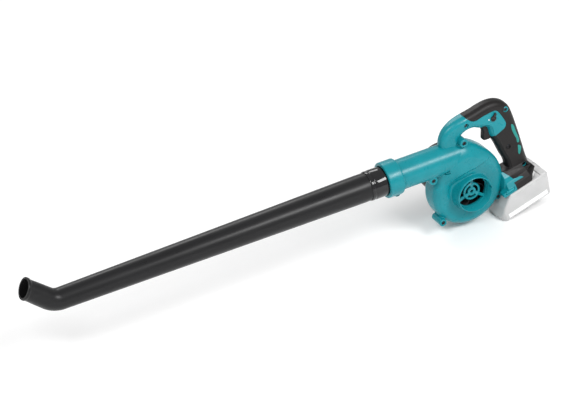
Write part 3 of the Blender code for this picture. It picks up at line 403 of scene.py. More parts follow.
class Look:
    """A node material with short helpers for its noise, colour and bump."""

    def __init__(self, name, roughness, metallic=0.0, coat=0.0, specular=0.5):
        self.material = bpy.data.materials.new(name)
        self.material.use_nodes = True
        self.nodes = self.material.node_tree.nodes
        self.links = self.material.node_tree.links
        self.shader = self.nodes["Principled BSDF"]
        self.shader.inputs["Roughness"].default_value = roughness
        self.shader.inputs["Metallic"].default_value = metallic
        self.shader.inputs["Coat Weight"].default_value = coat
        self.shader.inputs["Specular IOR Level"].default_value = specular
        self.place = self.nodes.new("ShaderNodeTexCoord").outputs["Object"]
        self.normal = None

    def noise(self, scale, detail, stretch=None):
        """Cloudy noise, drawn out along the axes that have a small stretch."""
        node = self.nodes.new("ShaderNodeTexNoise")
        node.inputs["Scale"].default_value = scale
        node.inputs["Detail"].default_value = detail
        node.inputs["Roughness"].default_value = 0.55
        self.links.new(self.stretched(stretch), node.inputs["Vector"])
        return node.outputs["Fac"]

    def stretched(self, stretch):
        """Object coordinates, scaled along each axis when a stretch is given."""
        if stretch is None:
            return self.place
        node = self.nodes.new("ShaderNodeMapping")
        node.inputs["Scale"].default_value = stretch
        self.links.new(self.place, node.inputs["Vector"])
        return node.outputs["Vector"]

    def cells(self, scale):
        """A pebbled pattern."""
        node = self.nodes.new("ShaderNodeTexVoronoi")
        node.inputs["Scale"].default_value = scale
        self.links.new(self.place, node.inputs["Vector"])
        return node.outputs["Distance"]

    def ramp(self, source, stops):
        """A colour for each position between the stops."""
        node = self.nodes.new("ShaderNodeValToRGB")
        ramp = node.color_ramp
        ramp.elements[0].position, ramp.elements[1].position = stops[0][0], stops[-1][0]
        for extra in stops[1:-1]:
            ramp.elements.new(extra[0])
        for element, (_, colour) in zip(ramp.elements, stops):
            element.color = (*colour, 1)
        self.links.new(source, node.inputs["Fac"])
        return node.outputs["Color"]

    def spread(self, source, low, high):
        """A value mapped from 0.3..0.7 to a range."""
        node = self.nodes.new("ShaderNodeMapRange")
        node.inputs["From Min"].default_value = 0.3
        node.inputs["From Max"].default_value = 0.7
        node.inputs["To Min"].default_value = low
        node.inputs["To Max"].default_value = high
        self.links.new(source, node.inputs["Value"])
        return node.outputs["Result"]

    def edges(self):
        """High on raised edges, from the mesh's own curvature."""
        return self.nodes.new("ShaderNodeNewGeometry").outputs["Pointiness"]

    def blend(self, share, first, second):
        """Two colours or colour sources mixed by a share."""
        node = self.nodes.new("ShaderNodeMix")
        node.data_type = "RGBA"
        sockets = [s for s in node.inputs if s.type == "RGBA"]
        for socket, value in zip(sockets, (first, second)):
            if isinstance(value, tuple):
                socket.default_value = (*value, 1)
            else:
                self.links.new(value, socket)
        self.links.new(share, node.inputs["Factor"])
        return [s for s in node.outputs if s.type == "RGBA"][0]

    def colour(self, source):
        """Sets the base colour."""
        self.links.new(source, self.shader.inputs["Base Color"])

    def rough(self, source):
        """Sets the roughness."""
        self.links.new(source, self.shader.inputs["Roughness"])

    def bump(self, source, strength, distance):
        """Adds a layer of relief on top of the ones before it."""
        node = self.nodes.new("ShaderNodeBump")
        node.inputs["Strength"].default_value = strength
        node.inputs["Distance"].default_value = distance
        self.links.new(source, node.inputs["Height"])
        if self.normal is not None:
            self.links.new(self.normal, node.inputs["Normal"])
        self.normal = node.outputs["Normal"]
        self.links.new(self.normal, self.shader.inputs["Normal"])


def plastic(name, dark, light, roughness, grain=2600, grain_depth=0.00004, coat=0.0, spread=0.06,
            specular=0.5):
    """Moulded plastic: slightly uneven colour, spark-eroded grain, and a painted highlight that makes raised
    edges paler.
    """
    look = Look(name, roughness, coat=coat, specular=specular)
    patches = look.ramp(look.noise(28, 3), ((0.3, dark), (0.7, light)))
    # painted highlight: raised edges, found from the mesh's pointiness, are mixed towards a paler copy of
    # the light colour
    edge_highlight_colour = tuple(min(1, c * 1.25 + 0.012) for c in light)
    edge_highlight_mask = look.ramp(look.edges(), ((0.52, (0, 0, 0)), (0.6, (1, 1, 1))))
    look.colour(look.blend(edge_highlight_mask, patches, edge_highlight_colour))
    look.rough(look.spread(look.noise(70, 5), roughness - spread, roughness + spread))
    look.bump(look.noise(grain, 2), 0.35, grain_depth)
    look.bump(look.noise(160, 2), 0.12, 0.0001)
    return look.material


def rubber(name, dark, light):
    """Soft over-moulding: matt, finely pebbled."""
    look = Look(name, 0.5, specular=0.26)
    look.colour(look.ramp(look.noise(45, 4), ((0.3, dark), (0.7, light))))
    look.rough(look.spread(look.noise(90, 4), 0.38, 0.52))
    look.bump(look.cells(1500), 0.3, 0.00012)
    look.bump(look.noise(220, 3), 0.15, 0.00012)
    return look.material


def metal(name, dark, light, roughness, stretch=(1, 30, 1)):
    """Turned or drawn metal, with lines along one axis."""
    look = Look(name, roughness, metallic=1.0)
    look.colour(look.ramp(look.noise(60, 4, stretch), ((0.3, dark), (0.7, light))))
    look.rough(look.spread(look.noise(90, 4, stretch), roughness - 0.08, roughness + 0.1))
    look.bump(look.noise(900, 3, stretch), 0.2, 0.00004)
    return look.material


def drawn_tube(name, dark, light):
    """Satin black extrusion: very fine lines along the tube and faint handling marks."""
    look = Look(name, 0.34, specular=0.24)
    look.colour(look.ramp(look.noise(30, 4, (0.15, 1, 1)), ((0.3, dark), (0.7, light))))
    look.rough(look.spread(look.noise(55, 5, (0.2, 1, 1)), 0.27, 0.42))
    look.bump(look.noise(700, 3, (0.03, 1, 1)), 0.16, 0.00006)
    look.bump(look.noise(2400, 2), 0.18, 0.00003)
    return look.material


def grey(value):
    """A colour without hue."""
    return value, value, value


def make_looks():
    """Every material, by a short name. Each has a darker and a lighter colour."""
    return {
        "teal": plastic("case_teal_moulded", (0.002, 0.195, 0.232), (0.003, 0.225, 0.265), 0.3,
                        specular=0.3),
        "accent": plastic("accent_green_moulded", (0.008, 0.2, 0.18), (0.012, 0.24, 0.21), 0.42,
                          specular=0.3),
        "soft": rubber("soft_black_overmould", (0.0065, 0.0055, 0.0055), (0.0105, 0.009, 0.009)),
        "hard": plastic("hard_black_moulded", (0.009, 0.008, 0.008), (0.014, 0.013, 0.013), 0.42,
                        specular=0.22),
        "gloss": plastic("gloss_black_polished", (0.007, 0.007, 0.008), (0.01, 0.01, 0.011), 0.08,
                         900, 0.000005, coat=0.1, spread=0.02, specular=0.38),
        "tube": drawn_tube("tube_black_drawn", (0.008, 0.008, 0.0085), (0.013, 0.013, 0.014)),
        "battery": plastic("battery_grey_moulded", grey(0.45), grey(0.5), 0.42, 2200, specular=0.3),
        "battery_band": plastic("battery_pale_band", grey(0.75), grey(0.8), 0.3, 1200, 0.00002),
        "battery_mid": plastic("battery_mid_grey", grey(0.3), grey(0.36), 0.5),
        "fan": plastic("fan_grey_moulded", (0.05, 0.05, 0.052), (0.075, 0.075, 0.078), 0.45),
        "steel": metal("machined_steel", (0.38, 0.38, 0.4), (0.6, 0.6, 0.62), 0.3),
        "dark_steel": metal("blackened_steel", (0.03, 0.03, 0.033), (0.07, 0.07, 0.075), 0.38),
        "core": metal("copper_and_core", (0.4, 0.2, 0.11), (0.62, 0.33, 0.2), 0.4, (1, 40, 1)),
        "brass": metal("turned_brass", (0.5, 0.3, 0.13), (0.7, 0.48, 0.25), 0.3),
        "magnet": plastic("sintered_ferrite", (0.035, 0.035, 0.038), (0.06, 0.06, 0.065), 0.6),
        "carbon": plastic("pressed_carbon", grey(0.02), grey(0.035), 0.75),
        "cell": plastic("cell_wrap_green", (0.05, 0.28, 0.13), (0.07, 0.34, 0.17), 0.32),
        "board": plastic("circuit_board_green", (0.012, 0.13, 0.045), (0.02, 0.17, 0.06), 0.4),
        "dot": plastic("lock_mark_white", grey(0.75), grey(0.85), 0.4),
    }


LOOKS = make_looks()


# ---------------------------------------------------------------- fan case


def table_value(turns, table, degrees, blur=5):
    """A table read at an angle, averaged over a few degrees each way so that it has no kinks.

    The tables run from -30 to 330 degrees, so angles are wrapped to that.
    """
    spots = np.linspace(degrees - blur, degrees + blur, 9)
    return float(np.mean(np.interp((spots + 30) % 360 - 30, turns, table))) * MM


def face_step(degrees, radius):
    """How far the near face is raised outside the crease that runs round the inlet and up to the rim."""
    start = float(np.interp(degrees, CREASE_TURN, CREASE_RADIUS)) * MM
    height = float(np.interp(degrees, CREASE_TURN, CREASE_STEP, left=0, right=0)) * CREASE_HEIGHT
    share = min(1, max(0, (radius - start) / CREASE_WIDTH))
    return height * share * share * (3 - 2 * share)


def rim_loop(angles, turn, depths, rounds, side):
    """One ring of the rim's rounding on one side. Turn runs from 0 at the rim's widest place to RIM_TURN."""
    loop = []
    for angle in angles:
        degrees = angle * 180 / pi
        radius = table_value(CASE_TURN, CASE_RADIUS, degrees)
        depth = table_value(CASE_TURN, depths, degrees)
        rounding = table_value(CASE_TURN, rounds, degrees)
        reach = radius - rounding * (1 - cos(turn)) / (1 - cos(RIM_TURN))
        y = depth - rounding + rounding * sin(turn) / sin(RIM_TURN)
        if side < 0:
            y += face_step(degrees, reach) * sin(turn) / sin(RIM_TURN)
        loop.append(Vector((reach * cos(angle), side * y, reach * sin(angle))))
    return loop


def face_loop(angles, share):
    """One ring of the near face, which is dished. Share is 0 at the inlet and 1 at the rim."""
    loop = []
    for angle in angles:
        degrees = angle * 180 / pi
        outer = table_value(CASE_TURN, CASE_RADIUS, degrees) - table_value(CASE_TURN, NEAR_ROUND, degrees)
        radius = FACE_INNER + (outer - FACE_INNER) * share
        depth = table_value(CASE_TURN, CASE_NEAR, degrees) - FACE_DISH * (1 - share)
        y = depth + face_step(degrees, radius)
        loop.append(Vector((radius * cos(angle), -y, radius * sin(angle))))
    return loop


def scroll():
    """The snail-shaped shell with a creased near face."""
    around, rim_steps, face_steps = 288, 10, 26
    angles = [2 * pi * i / around for i in range(around)]
    turns = [RIM_TURN * (1 - k / rim_steps) for k in range(rim_steps + 1)]
    loops = [circle(42 * MM, CASE_FAR[0] * MM, steps=around)]
    loops += [rim_loop(angles, turn, CASE_FAR, FAR_ROUND, 1) for turn in turns]
    loops += [rim_loop(angles, turn, CASE_NEAR, NEAR_ROUND, -1) for turn in reversed(turns)]
    loops += [face_loop(angles, 1 - k / face_steps) for k in range(1, face_steps + 1)]
    return loops_solid("scroll", loops)


def case_boss(node):
    """The round boss that a case screw goes through."""
    centre, near, far = screw_place(node)
    radius = BOSS_RADIUS.get(node, 9) * MM
    profile = ((radius - 1.2 * MM, near), (radius, near + 1.2 * MM), (radius, far + 3 * MM),
               (radius - MM, far + 4 * MM))
    return turned("boss", profile, centre)


def screw_recesses(kinds):
    """Round head recesses with a slight lead-in, for the screws whose names start as given."""
    tools = []
    for node in SCREW_NODES:
        if node.startswith(kinds):
            centre, near, _ = screw_place(node)
            tools.append(turned("recess", (
                (5.4 * MM, near - 8 * MM), (5.2 * MM, near - MM), (4.9 * MM, near + 0.5 * MM),
                (HEAD_ROOM, near + MM), (HEAD_ROOM, near + 4.2 * MM)), centre, steps=40))
    return gathered(tools)


def fan_case():
    """Both moulded halves: scroll, outlet pipe, inlet ring and bosses, fused with small fillets."""
    ring = turned("ring", scaled(((43.5, -8), (42.2, -13), (41.2, -17), (39, -38), (38.2, -39.7),
                                  (37.4, -40.2), (30, -40.2))), steps=160)
    pipe = rod(PIPE_RADIUS, PIPE_FRONT, PIPE_REAR, (0, 0, PIPE_Z), "X", 128)
    bosses = [case_boss(node) for node in SCREW_NODES if node.startswith("screw_case")]
    case = melted([scroll(), pipe, ring, *bosses], CASE_VOXEL, 7)
    cut(case, turned("bore", scaled(((37.2, -41), (36.6, -39.4), (36, -38.6), (36, -12), (68, -11),
                                     (68, 30))), steps=128))
    cut(case, rod(26 * MM, 20 * MM, 40 * MM, steps=96))
    notches = []
    for angle in (8, 188):
        turn = Matrix.Rotation(-radians(angle), 4, "Y")
        notches.append(box("notch", (34 * MM, -42 * MM, -3.2 * MM), (37.6 * MM, -33 * MM, 3.2 * MM), turn))
    cut(case, gathered(notches))
    cut(case, screw_recesses("screw_case"))
    cut(case, face_slots())
    for side, name in ((-1, "left"), (1, "right")):
        finished(half_of(case, side), f"case_shell_{name}", "housing", LOOKS["teal"], (f"fan_case_{name}",),
                 40)
    bpy.data.objects.remove(case, do_unlink=True)


def face_slots():
    """Two short marks sunk in the near face beside the front screw."""
    made = []
    for x, z, length in ((-52, 64, 13), (-50, 59.5, 11)):
        place = Matrix.Translation((x * MM, -21 * MM, z * MM)) @ Matrix.Rotation(radians(-8), 4, "Y")
        half = length / 2 * MM
        made.append(box("slot", (-half, -12 * MM, -1.3 * MM), (half, 2 * MM, 1.3 * MM), place))
    return gathered(made)


def collar():
    """The clamp ring round the pipe's mouth, with its screw lug."""
    front, rear = COLLAR_FRONT, COLLAR_REAR
    ring = turned("collar", (
        (31 * MM, front), (35.2 * MM, front), (36.6 * MM, front + 1.2 * MM), (36.8 * MM, front + 3 * MM),
        (36.8 * MM, rear - 3 * MM), (36.2 * MM, rear - 1.2 * MM), (34.5 * MM, rear), (31 * MM, rear),
    ), (0, 0, PIPE_Z), "X", 144)
    lug = turned("lug", scaled(((6, -8), (7, -7), (7, 7), (6, 8))), (-156 * MM, 0, 46 * MM))
    web = box("web", (-162 * MM, -5 * MM, 40 * MM), (-150 * MM, 5 * MM, 52 * MM))
    made = melted([ring, lug, web], HANDLE_VOXEL, 5)
    cut(made, rod(30.9 * MM, front - MM, rear + MM, (0, 0, PIPE_Z), "X", 96))
    cut(made, screw_recesses("screw_collar"))
    finished(made, "collar", "housing", LOOKS["teal"], ("outlet_collar",))


def guard():
    """The inlet's finger guard: a slotted disc on three spokes."""
    outer = 35.7 * MM
    ring = turned("ring", ((outer, -22.5 * MM), (outer, -16.5 * MM), (outer - 2 * MM, -16.5 * MM),
                           (outer - 2 * MM, -22.5 * MM)), ring=True)
    disc = turned("disc", scaled(((17.5, -23.6), (19, -22.5), (19, -19.5))))
    tools = [turned("hub", scaled(((4, -24), (3.4, -23), (3.4, -18))), steps=40)]
    for i in range(3):
        start = 100 + 120 * i
        arcs = ((14.8 * MM, range(0, 91, 5)), (9.2 * MM, range(90, -1, -5)))
        arc = [(radius * cos(radians(start + angle)), radius * sin(radians(start + angle)))
               for radius, angles in arcs for angle in angles]
        tools.append(prism("slot", arc, -25 * MM, -18 * MM))
    cut(disc, gathered(tools))
    spokes = []
    for i in range(3):
        turn = Matrix.Rotation(-radians(84 + 120 * i), 4, "Y")
        spokes.append(box("spoke", (17 * MM, -22 * MM, -3 * MM), (outer - MM, -19.2 * MM, 3 * MM), turn))
    made = add(disc, ring, *spokes)
    finished(bevelled(made, 0.4 * MM), "guard", "housing", LOOKS["teal"], ("inlet_guard",))


# ---------------------------------------------------------------- motor


def motor_barrel():
    """The ribbed barrel on the far side of the case."""
    barrel = turned("barrel", scaled(((45, 33), (52.5, 33.6), (51, 35.4), (50, 38), (50, 82), (48, 84),
                                      (40, 84))), steps=160)
    ribs = ring_of_boxes("rib", 12, (48 * MM, 37 * MM, -1.5 * MM), (51.6 * MM, 70 * MM, 1.5 * MM))
    made = melted([barrel, *ribs], CASE_VOXEL, 3)
    finished(made, "motor_barrel", "housing", LOOKS["teal"], ("motor_housing",), 45)


def end_cap():
    """The vented end cap, with a raised rim, a hub and grip grooves round its side."""
    cap = turned("cap", scaled((
        (50.4, 74), (53, 74), (54, 75), (54, 104), (53.4, 106.8), (51.5, 110), (48.6, 112.8), (45, 114),
        (43.6, 113.8), (42.8, 112.4), (13, 112), (12, 113.6), (10.6, 114), (10, 111), (44, 110), (50.4, 104),
    )), ring=True, steps=160)
    add(cap, rod(11 * MM, 110.6 * MM, 113.2 * MM))
    vents = ring_of_boxes("vent", 20, (19 * MM, 108 * MM, -1.5 * MM), (40 * MM, 116 * MM, 1.5 * MM), 0.5)
    cut(cap, gathered(vents))
    grips = ring_of_boxes("grip", 36, (53.2 * MM, 79 * MM, -1.1 * MM), (56 * MM, 100 * MM, 1.1 * MM), 0.5)
    cut(cap, gathered(grips))
    finished(bevelled(cap, 0.35 * MM), "end_cap", "housing", LOOKS["hard"], ("motor_cover",))


# ---------------------------------------------------------------- handle


def narrowed(item):
    """Narrows everything in front of X = 0 towards the foot of the arch."""
    bm = bmesh.new()
    bm.from_mesh(item.data)
    whole = [*bm.verts, *bm.edges, *bm.faces]
    bmesh.ops.bisect_plane(bm, geom=whole, plane_co=(0, 0, 0), plane_no=(1, 0, 0))
    bmesh.ops.triangulate(bm, faces=bm.faces)
    for vert in bm.verts:
        vert.co.y *= float(np.interp(vert.co.x, (FOOT_FRONT, 0), (FOOT_SHARE, 1)))
    bm.to_mesh(item.data)
    bm.free()
    return item


def base_solid():
    """The block that the battery slides under: tall in the middle, with a lower ledge along each side."""
    place = battery_axes()
    front, rear, low = BASE_FRONT_U, BASE_REAR_U, BASE_LOW_V
    back = ((front, low), (rear - 15 * MM, low), (rear - 10 * MM, low + 13 * MM), (rear + MM, low + 28 * MM),
            (rear - 2 * MM, BASE_TOP_V))
    tops = (
        (14 * MM, (rear - 16 * MM, BASE_TOP_V + 8 * MM), (front + 14 * MM, BASE_TOP_V + 12 * MM)),
        (24 * MM, (rear - 16 * MM, BASE_TOP_V - MM), (front + 13 * MM, BASE_TOP_V + MM)),
        (28 * MM, (rear - 16 * MM, BASE_TOP_V - 8 * MM), (front + 12 * MM, BASE_TOP_V - 10 * MM)),
        (BASE_HALF - 1.5 * MM, (rear - 16 * MM, BASE_SIDE_V + 2 * MM), (front + 10 * MM, BASE_SIDE_V)),
    )
    rows = [(y, (*back, *top)) for y, *top in tops]
    rows.append((BASE_HALF, shrunk([*back, *tops[-1][1:]], 1.2 * MM)))
    loops = [[place @ Vector((u, -y, v)) for u, v in row] for y, row in reversed(rows)]
    loops += [[place @ Vector((u, y, v)) for u, v in row] for y, row in rows]
    return loops_solid("base", loops)


def base_horn():
    """The base's near front end, beside the rear screw of the fan case."""
    outline = scaled(((54, -48.5), (56.5, -52), (66, -52), (66, -40), (55, -43)))
    return prism("horn", outline, -BASE_HALF + 0.6 * MM, -21 * MM, battery_axes())


def cover_zone(grow):
    """Where the soft cover lies: the arch's top, the grip, the saddle at its root and the base's rear."""
    outline = smooth_curve(scaled(COVER_EDGE), 5) + scaled(COVER_REST)
    grip = prism("zone", shrunk(outline, -grow), -0.1, 0.1)
    place = battery_axes()
    plan = scaled(SADDLE + tuple((u, -y) for u, y in reversed(SADDLE)))
    low = BASE_SIDE_V + 2.6 * MM - grow
    saddle = loops_solid("saddle", [[place @ Vector((u, y, v)) for u, y in shrunk(plan, -grow)]
                                    for v in (low, 60 * MM)])
    rear = box("rear", (87 * MM - grow, -0.06, -0.08), (0.2, 0.06, low + MM), place)
    return add(grip, saddle, rear)


def side_panel_groove():
    """A narrow groove round a slanted panel on each flank of the base, with the panel sunk inside it."""
    place = battery_axes()
    outline = scaled(((59.5, -46.8), (64, -39.3), (84, -39.3), (80.3, -46.8)))
    tools = []
    for side in (-1, 1):
        deep, shallow, out = (side * depth * MM for depth in (34.8, 36.5, 40))
        groove = prism("groove", outline, *sorted((deep, out)), place)
        cut(groove, prism("panel", shrunk(outline, 1.3 * MM), *sorted((side * 30 * MM, shallow)), place))
        tools.append(groove)
    return gathered(tools)


def handle_solid(outline):
    """The whole handle with its base, before it is shared out between hard halves and soft cover."""
    arch = narrowed(pillow("arch", outline, HANDLE_HALF, HANDLE_ROUND))
    solid = melted([arch, base_solid(), base_horn()], HANDLE_VOXEL, 9)
    cut(solid, box("under", (0, -0.1, -0.2), (0.25, 0.1, BASE_LOW_V), battery_axes()))
    cut(solid, side_panel_groove())
    cut(solid, trigger_room())
    return cut(solid, screw_recesses(("screw_handle", "screw_grip", "screw_base")))


def accent_bars(grow, depth):
    """Bars with the accent strips' outlines, from outside the handle to a depth beside its middle."""
    bars = []
    for points in ACCENTS:
        outline = shrunk(closed_curve(scaled(points), 4), -grow)
        bars += [prism("strip", outline, -0.1, -depth), prism("strip", outline, depth, 0.1)]
    return gathered(bars)


def handle():
    """The hard handle in two halves, the soft cover over it, and the accent strips let into the cover."""
    outline = smooth_curve(scaled(HANDLE_OUTER), 6) + smooth_curve(scaled(HANDLE_INNER), 6)
    solid = handle_solid(outline)
    cover = keep(copy_of(solid), cover_zone(0))
    body = cut(copy_of(solid), cover_zone(GROOVE))
    accents = keep(copy_of(cover), accent_bars(0, 4 * MM))
    cut(cover, accent_bars(0.25 * MM, 3.8 * MM))
    inner = shrunk(outline, 1.6 * MM)
    core = narrowed(pillow("core", inner, HANDLE_HALF - 4.5 * MM, HANDLE_ROUND - 7 * MM, 5))
    cut(core, trigger_room())
    for side, name in ((-1, "left"), (1, "right")):
        shell = gathered([half_of(body, side), half_of(core, side)])
        finished(shell, f"handle_shell_{name}", "housing", LOOKS["teal"], (f"handle_{name}",))
        finished(half_of(cover, side), f"soft_cover_{name}", "housing", LOOKS["soft"],
                 (f"grip_cover_{name}",))
    finished(accents, "accent_strips", "housing", LOOKS["accent"], ())
    for node in ("screw_handle_rear", "screw_base"):
        finished(boss_ring(node), f"{node[6:]}_boss", "housing", LOOKS["teal"], ())
    for item in (solid, cover, body, core):
        bpy.data.objects.remove(item, do_unlink=True)


def boss_ring(node):
    """The hard boss round a screw head, which shows through the soft cover."""
    centre, near, _ = screw_place(node)
    return turned("ring", (
        (HEAD_ROOM, near + 4 * MM), (HEAD_ROOM, near + 0.6 * MM), (4.6 * MM, near - 0.1 * MM),
        (5.4 * MM, near - 0.3 * MM), (6.1 * MM, near + 0.3 * MM), (6.3 * MM, near + 1.2 * MM),
        (6.3 * MM, near + 4 * MM),
    ), centre, steps=48, ring=True)


def trigger_room():
    """The slot in the handle that the trigger moves in."""
    half = 7.1 * MM
    return box("room", (36 * MM, -half, 92 * MM), (69 * MM, half, 127.5 * MM))


def trigger():
    """The trigger, with rounded sides."""
    outline = smooth_curve(scaled(TRIGGER_OUTLINE), 6)
    made = pillow("trigger", outline, 6.8 * MM, 2.2 * MM, 5)
    finished(made, "trigger_piece", "trigger", LOOKS["hard"], ("trigger",))


def lever():
    """The side lever: a dished disc with a curved arm, and the white dot beside it."""
    face = -HANDLE_HALF - 0.3 * MM
    disc = turned("disc", (
        (2.9 * MM, -12 * MM), (3 * MM, face - 0.2 * MM), (6 * MM, face), (6 * MM, face - 1.8 * MM),
        (5.2 * MM, face - 2.6 * MM), (3.6 * MM, face - 2.6 * MM), (3 * MM, face - 1.6 * MM),
    ), (LEVER_X, 0, LEVER_Z))
    arm = [(LEVER_X + x, LEVER_Z + z) for x, z in closed_curve(scaled(LEVER_ARM), 5)]
    add(disc, prism("arm", arm, face - 3.4 * MM, face - 0.6 * MM))
    finished(bevelled(disc, 0.5 * MM), "lever_piece", "lock_lever", LOOKS["hard"], ("lock_lever",))
    skin = -HANDLE_HALF
    dot = turned("dot", (
        (0.2 * MM, skin + 0.35 * MM), (1.3 * MM, skin + 0.35 * MM), (1.3 * MM, skin - 0.2 * MM),
        (1 * MM, skin - 0.35 * MM), (0.2 * MM, skin - 0.4 * MM),
    ), (LEVER_X - 10 * MM, 0, LEVER_Z), steps=32)
    finished(dot, "lock_dot", "housing", LOOKS["dot"], ())


# ---------------------------------------------------------------- nozzle


def sleeve():
    """The polished bayonet sleeve, with a step and a groove round it near its front."""
    made = turned("sleeve", scaled((
        (28.3, -160), (28.3, -182.3), (29.2, -182.3), (30.1, -183.5), (30.3, -184.9), (30.3, -207),
        (30, -208), (29.5, -208.6), (29.5, -210), (30, -210.6), (30.3, -211.4), (30.3, -215.6),
        (29.9, -217.1), (29.2, -218), (26.4, -218), (26.4, -240), (24.4, -240), (24.4, -160),
    )), (0, 0, PIPE_Z), "X", 160, ring=True)
    for side in (-1, 1):
        near, far = sorted((side * 27.3 * MM, side * 30 * MM))
        add(made, box("lug", (-184 * MM, near, PIPE_Z - 4 * MM), (-174 * MM, far, PIPE_Z + 4 * MM)))
    finished(made, "sleeve", "nozzle_sleeve", LOOKS["gloss"], ("nozzle_sleeve",))


def tube_stations():
    """(X, Z, tilt of the cross-section) along the tube's middle line: straight, then bent up."""
    bend_radius, bend, mouth, tip = 38 * MM, radians(44), radians(32), 54 * MM
    stations = [(TUBE_REAR + (TUBE_BEND - TUBE_REAR) * t, PIPE_Z, 0.0) for t in np.linspace(0, 1, 40)]
    for i in range(1, 15):
        angle = bend * i / 14
        x, z = TUBE_BEND - bend_radius * sin(angle), PIPE_Z + bend_radius * (1 - cos(angle))
        stations.append((x, z, angle))
    for k in range(1, 25):
        along = tip * k / 24
        angle = bend + (mouth - bend) * max(0, (k - 10) / 14)
        stations.append((x - along * cos(bend), z + along * sin(bend), angle))
    return stations


def tube():
    """The long tapering tube with its upturned end and flared lip."""
    stations = tube_stations()
    outer, inner = [], []
    for k, (x, z, angle) in enumerate(stations):
        share = (x - TUBE_REAR) / (TUBE_BEND - TUBE_REAR)
        radius = (29 - 7.2 * share - 8 * max(0, share - 1)) * MM
        to_mouth = len(stations) - 1 - k
        lip = 1.8 * MM * min(1, max(0, (3 - to_mouth) / 1.2))
        if to_mouth == 0:
            lip -= 0.5 * MM
        if k == 0:
            lip = -0.6 * MM
        across = Vector((sin(angle), 0, cos(angle)))
        middle = Vector((x, 0, z))
        for rows, reach in ((outer, radius + lip), (inner, radius - TUBE_WALL)):
            rows.append([middle + (Vector((0, cos(t), 0)) + across * sin(t)) * reach
                         for t in (2 * pi * i / 112 for i in range(112))])
    made = loops_solid("tube", outer + inner[::-1], ring=True)
    finished(made, "tube", "nozzle_tube", LOOKS["tube"], ("nozzle_tube",), 50)


# ---------------------------------------------------------------- battery


def battery_outline(inset):
    """The pack's side view, as (U, V) points, moved inwards."""
    rear, low, top, hump = BATTERY_REAR_U, BATTERY_LOW_V, BATTERY_TOP_V, BATTERY_HUMP_V
    outline = [(33 * MM, low + 6 * MM), (40 * MM, low), (rear - 12 * MM, low), (rear - 8 * MM, low + 3 * MM),
               (rear, -56 * MM), (rear - 4 * MM, hump), (144 * MM, hump), (144 * MM, top), (69 * MM, top),
               (45 * MM, -76 * MM)]
    return shrunk(outline, inset)


def pack_solid():
    """The pack without its rails: chamfered along its sides, and round at its front as seen from above."""
    place = battery_axes()
    rows = [(battery_outline(3 * MM), 37.5 * MM), (battery_outline(0.6 * MM), 35.5 * MM),
            (battery_outline(0), 31.5 * MM)]
    loops = [[place @ Vector((u, -y, v)) for u, v in row] for row, y in rows]
    loops += [[place @ Vector((u, y, v)) for u, v in row] for row, y in reversed(rows)]
    side = [(0.3, BATTERY_HALF), *smooth_curve(scaled(BATTERY_FRONT), 4)]
    plan = side + [(u, -y) for u, y in reversed(side)]
    front = loops_solid("plan", [[place @ Vector((u, y, v)) for u, y in plan] for v in (-0.2, 0.1)])
    pack = melted([keep(loops_solid("pack", loops), front)], HANDLE_VOXEL, 6)
    latch = box("latch", (BATTERY_REAR_U - 7 * MM, -13 * MM, -76 * MM), (0.2, 13 * MM, 0.02), place)
    return cut(pack, latch)


def pack_rails():
    """The rail plate on top of the pack, with three contact slits in its front."""
    place = battery_axes()
    rails = loops_solid("rails", [[place @ Vector((u, y, v)) for y, v in scaled(RAIL_SECTION)]
                                  for u in (74 * MM, 137 * MM)])
    for y in (-12, 0, 12):
        left, right = (y - 1.2) * MM, (y + 1.2) * MM
        cut(rails, box("slit", (73 * MM, left, -44.6 * MM), (88 * MM, right, -38 * MM), place))
    return rails


def label_band(grow, depth):
    """The room of the pale band low on the near side, down to a depth beside the middle."""
    low = BATTERY_LOW_V + 5 * MM
    return box("band", (50 * MM - grow, -0.1, low - grow), (146 * MM + grow, -depth, low + 10 * MM + grow),
               battery_axes())


def battery():
    """The pack: a tub with a pale band, and a lid with the rails."""
    place = battery_axes()
    pack = pack_solid()
    band = keep(copy_of(pack), label_band(0, 33 * MM))
    cut(pack, label_band(0.2 * MM, 32.5 * MM))
    seam = BATTERY_TOP_V - 8 * MM
    tub = cut(copy_of(pack), box("top", (0, -0.1, seam), (0.3, 0.1, 0.1), place))
    lid = cut(pack, box("under", (0, -0.1, -0.3), (0.3, 0.1, seam + 0.3 * MM), place))
    lid = gathered([lid, pack_rails()])
    finished(tub, "pack_tub", "battery", LOOKS["battery"], ("battery_lower_case",))
    finished(lid, "pack_lid", "battery", LOOKS["battery"], ("battery_upper_case",))
    finished(band, "pack_band", "battery", LOOKS["battery_band"], ())


def latch_button():
    """The release button, with grooves for the thumb."""
    place, rear = battery_axes(), BATTERY_REAR_U
    made = box("button", (rear - 6.7 * MM, -12.5 * MM, -71 * MM), (rear - MM, 12.5 * MM, -53 * MM), place)
    grooves = [box("groove", (rear - 2 * MM, -9 * MM, (v - 0.6) * MM), (rear, 9 * MM, (v + 0.6) * MM), place)
               for v in (-67, -64, -61, -58)]
    cut(made, gathered(grooves))
    finished(bevelled(made, 0.5 * MM), "latch_button", "battery_button", LOOKS["battery_mid"],
             ("battery_button",))


# ---------------------------------------------------------------- carried-over nodes, stage and camera


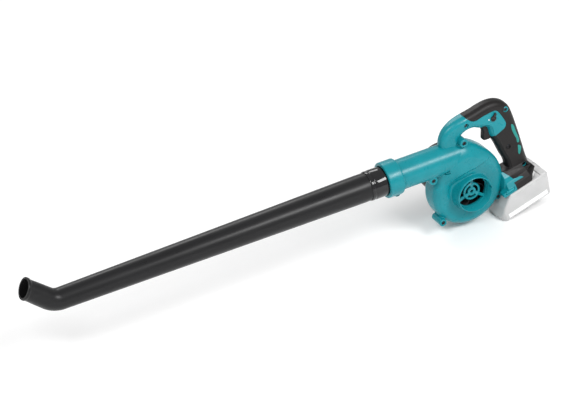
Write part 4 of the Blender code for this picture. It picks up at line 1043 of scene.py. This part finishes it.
def dress_nodes():
    """Gives every CAD node that stays its own finished material."""
    wanted = {
        "fan_impeller": "fan", "fan_nut": "steel", "motor_shaft": "steel", "armature": "core",
        "commutator": "brass", "front_bearing": "steel", "rear_bearing": "steel", "motor_can": "steel",
        "magnet_upper": "magnet", "magnet_lower": "magnet", "brush_left": "carbon", "brush_right": "carbon",
        "brush_holder_left": "hard", "brush_holder_right": "hard", "motor_bracket": "hard",
        "switch_module": "gloss", "terminal_block": "battery_mid", "battery_board": "board",
    }
    for name, node in NODES.items():
        if name.startswith("cell_"):
            look = "cell"
        elif name.startswith("screw_"):
            look = "dark_steel"
        else:
            look = wanted.get(name, "hard")
        for place in node.material_slots:
            place.material = LOOKS[look]


def stage():
    """A pale floor, a white surround and three soft lamps."""
    floor_look = Look("floor_white", 0.75)
    floor_look.colour(floor_look.ramp(floor_look.noise(3, 2), ((0.3, grey(0.93)), (0.7, grey(0.95)))))
    bm = bmesh.new()
    bmesh.ops.create_grid(bm, x_segments=8, y_segments=8, size=8)
    floor = mesh_object("floor", bm)
    floor.data.materials.append(floor_look.material)
    world = bpy.data.worlds.new("studio")
    world.use_nodes = True
    background = world.node_tree.nodes["Background"]
    background.inputs["Color"].default_value = (1, 1, 1, 1)
    background.inputs["Strength"].default_value = 0.52
    bpy.context.scene.world = world
    lamp("key", (-1.3, -1.5, 2.4), (-0.1, 0, 0.12), 1.0, 0.6, 32)
    lamp("softbox", (0.96, -1.6, 1.55), (0.18, 0, 0.19), 1.0, 0.6, 34)
    lamp("back", (0.4, 2.0, 1.8), (0.1, 0, 0.12), 1.6, 0.8, 22)
    bpy.context.scene.view_settings.view_transform = "Standard"


def lamp(name, place, aim, width, height, power):
    """A rectangular soft lamp that faces a point."""
    light = bpy.data.lights.new(name, "AREA")
    light.shape = "RECTANGLE"
    light.size, light.size_y = width, height
    light.energy = power
    made = bpy.data.objects.new(name, light)
    made.location = place
    made.rotation_euler = (Vector(aim) - Vector(place)).to_track_quat("-Z", "Y").to_euler()
    bpy.context.scene.collection.objects.link(made)


def camera():
    """A long lens above the inlet side, a little in front of it and slightly rolled."""
    data = bpy.data.cameras.new("camera")
    data.lens = CAMERA_LENS
    made = bpy.data.objects.new("camera", data)
    made.location = ORIGIN + Vector(CAMERA_PLACE)
    made.rotation_euler = Euler([radians(angle) for angle in CAMERA_TURN], "XYZ")
    bpy.context.scene.collection.objects.link(made)
    bpy.context.scene.camera = made


def build():
    """Makes every piece, then the stage and the camera."""
    dress_nodes()
    fan_case()
    collar()
    guard()
    motor_barrel()
    end_cap()
    handle()
    trigger()
    lever()
    sleeve()
    tube()
    battery()
    latch_button()
    stage()
    camera()


build()
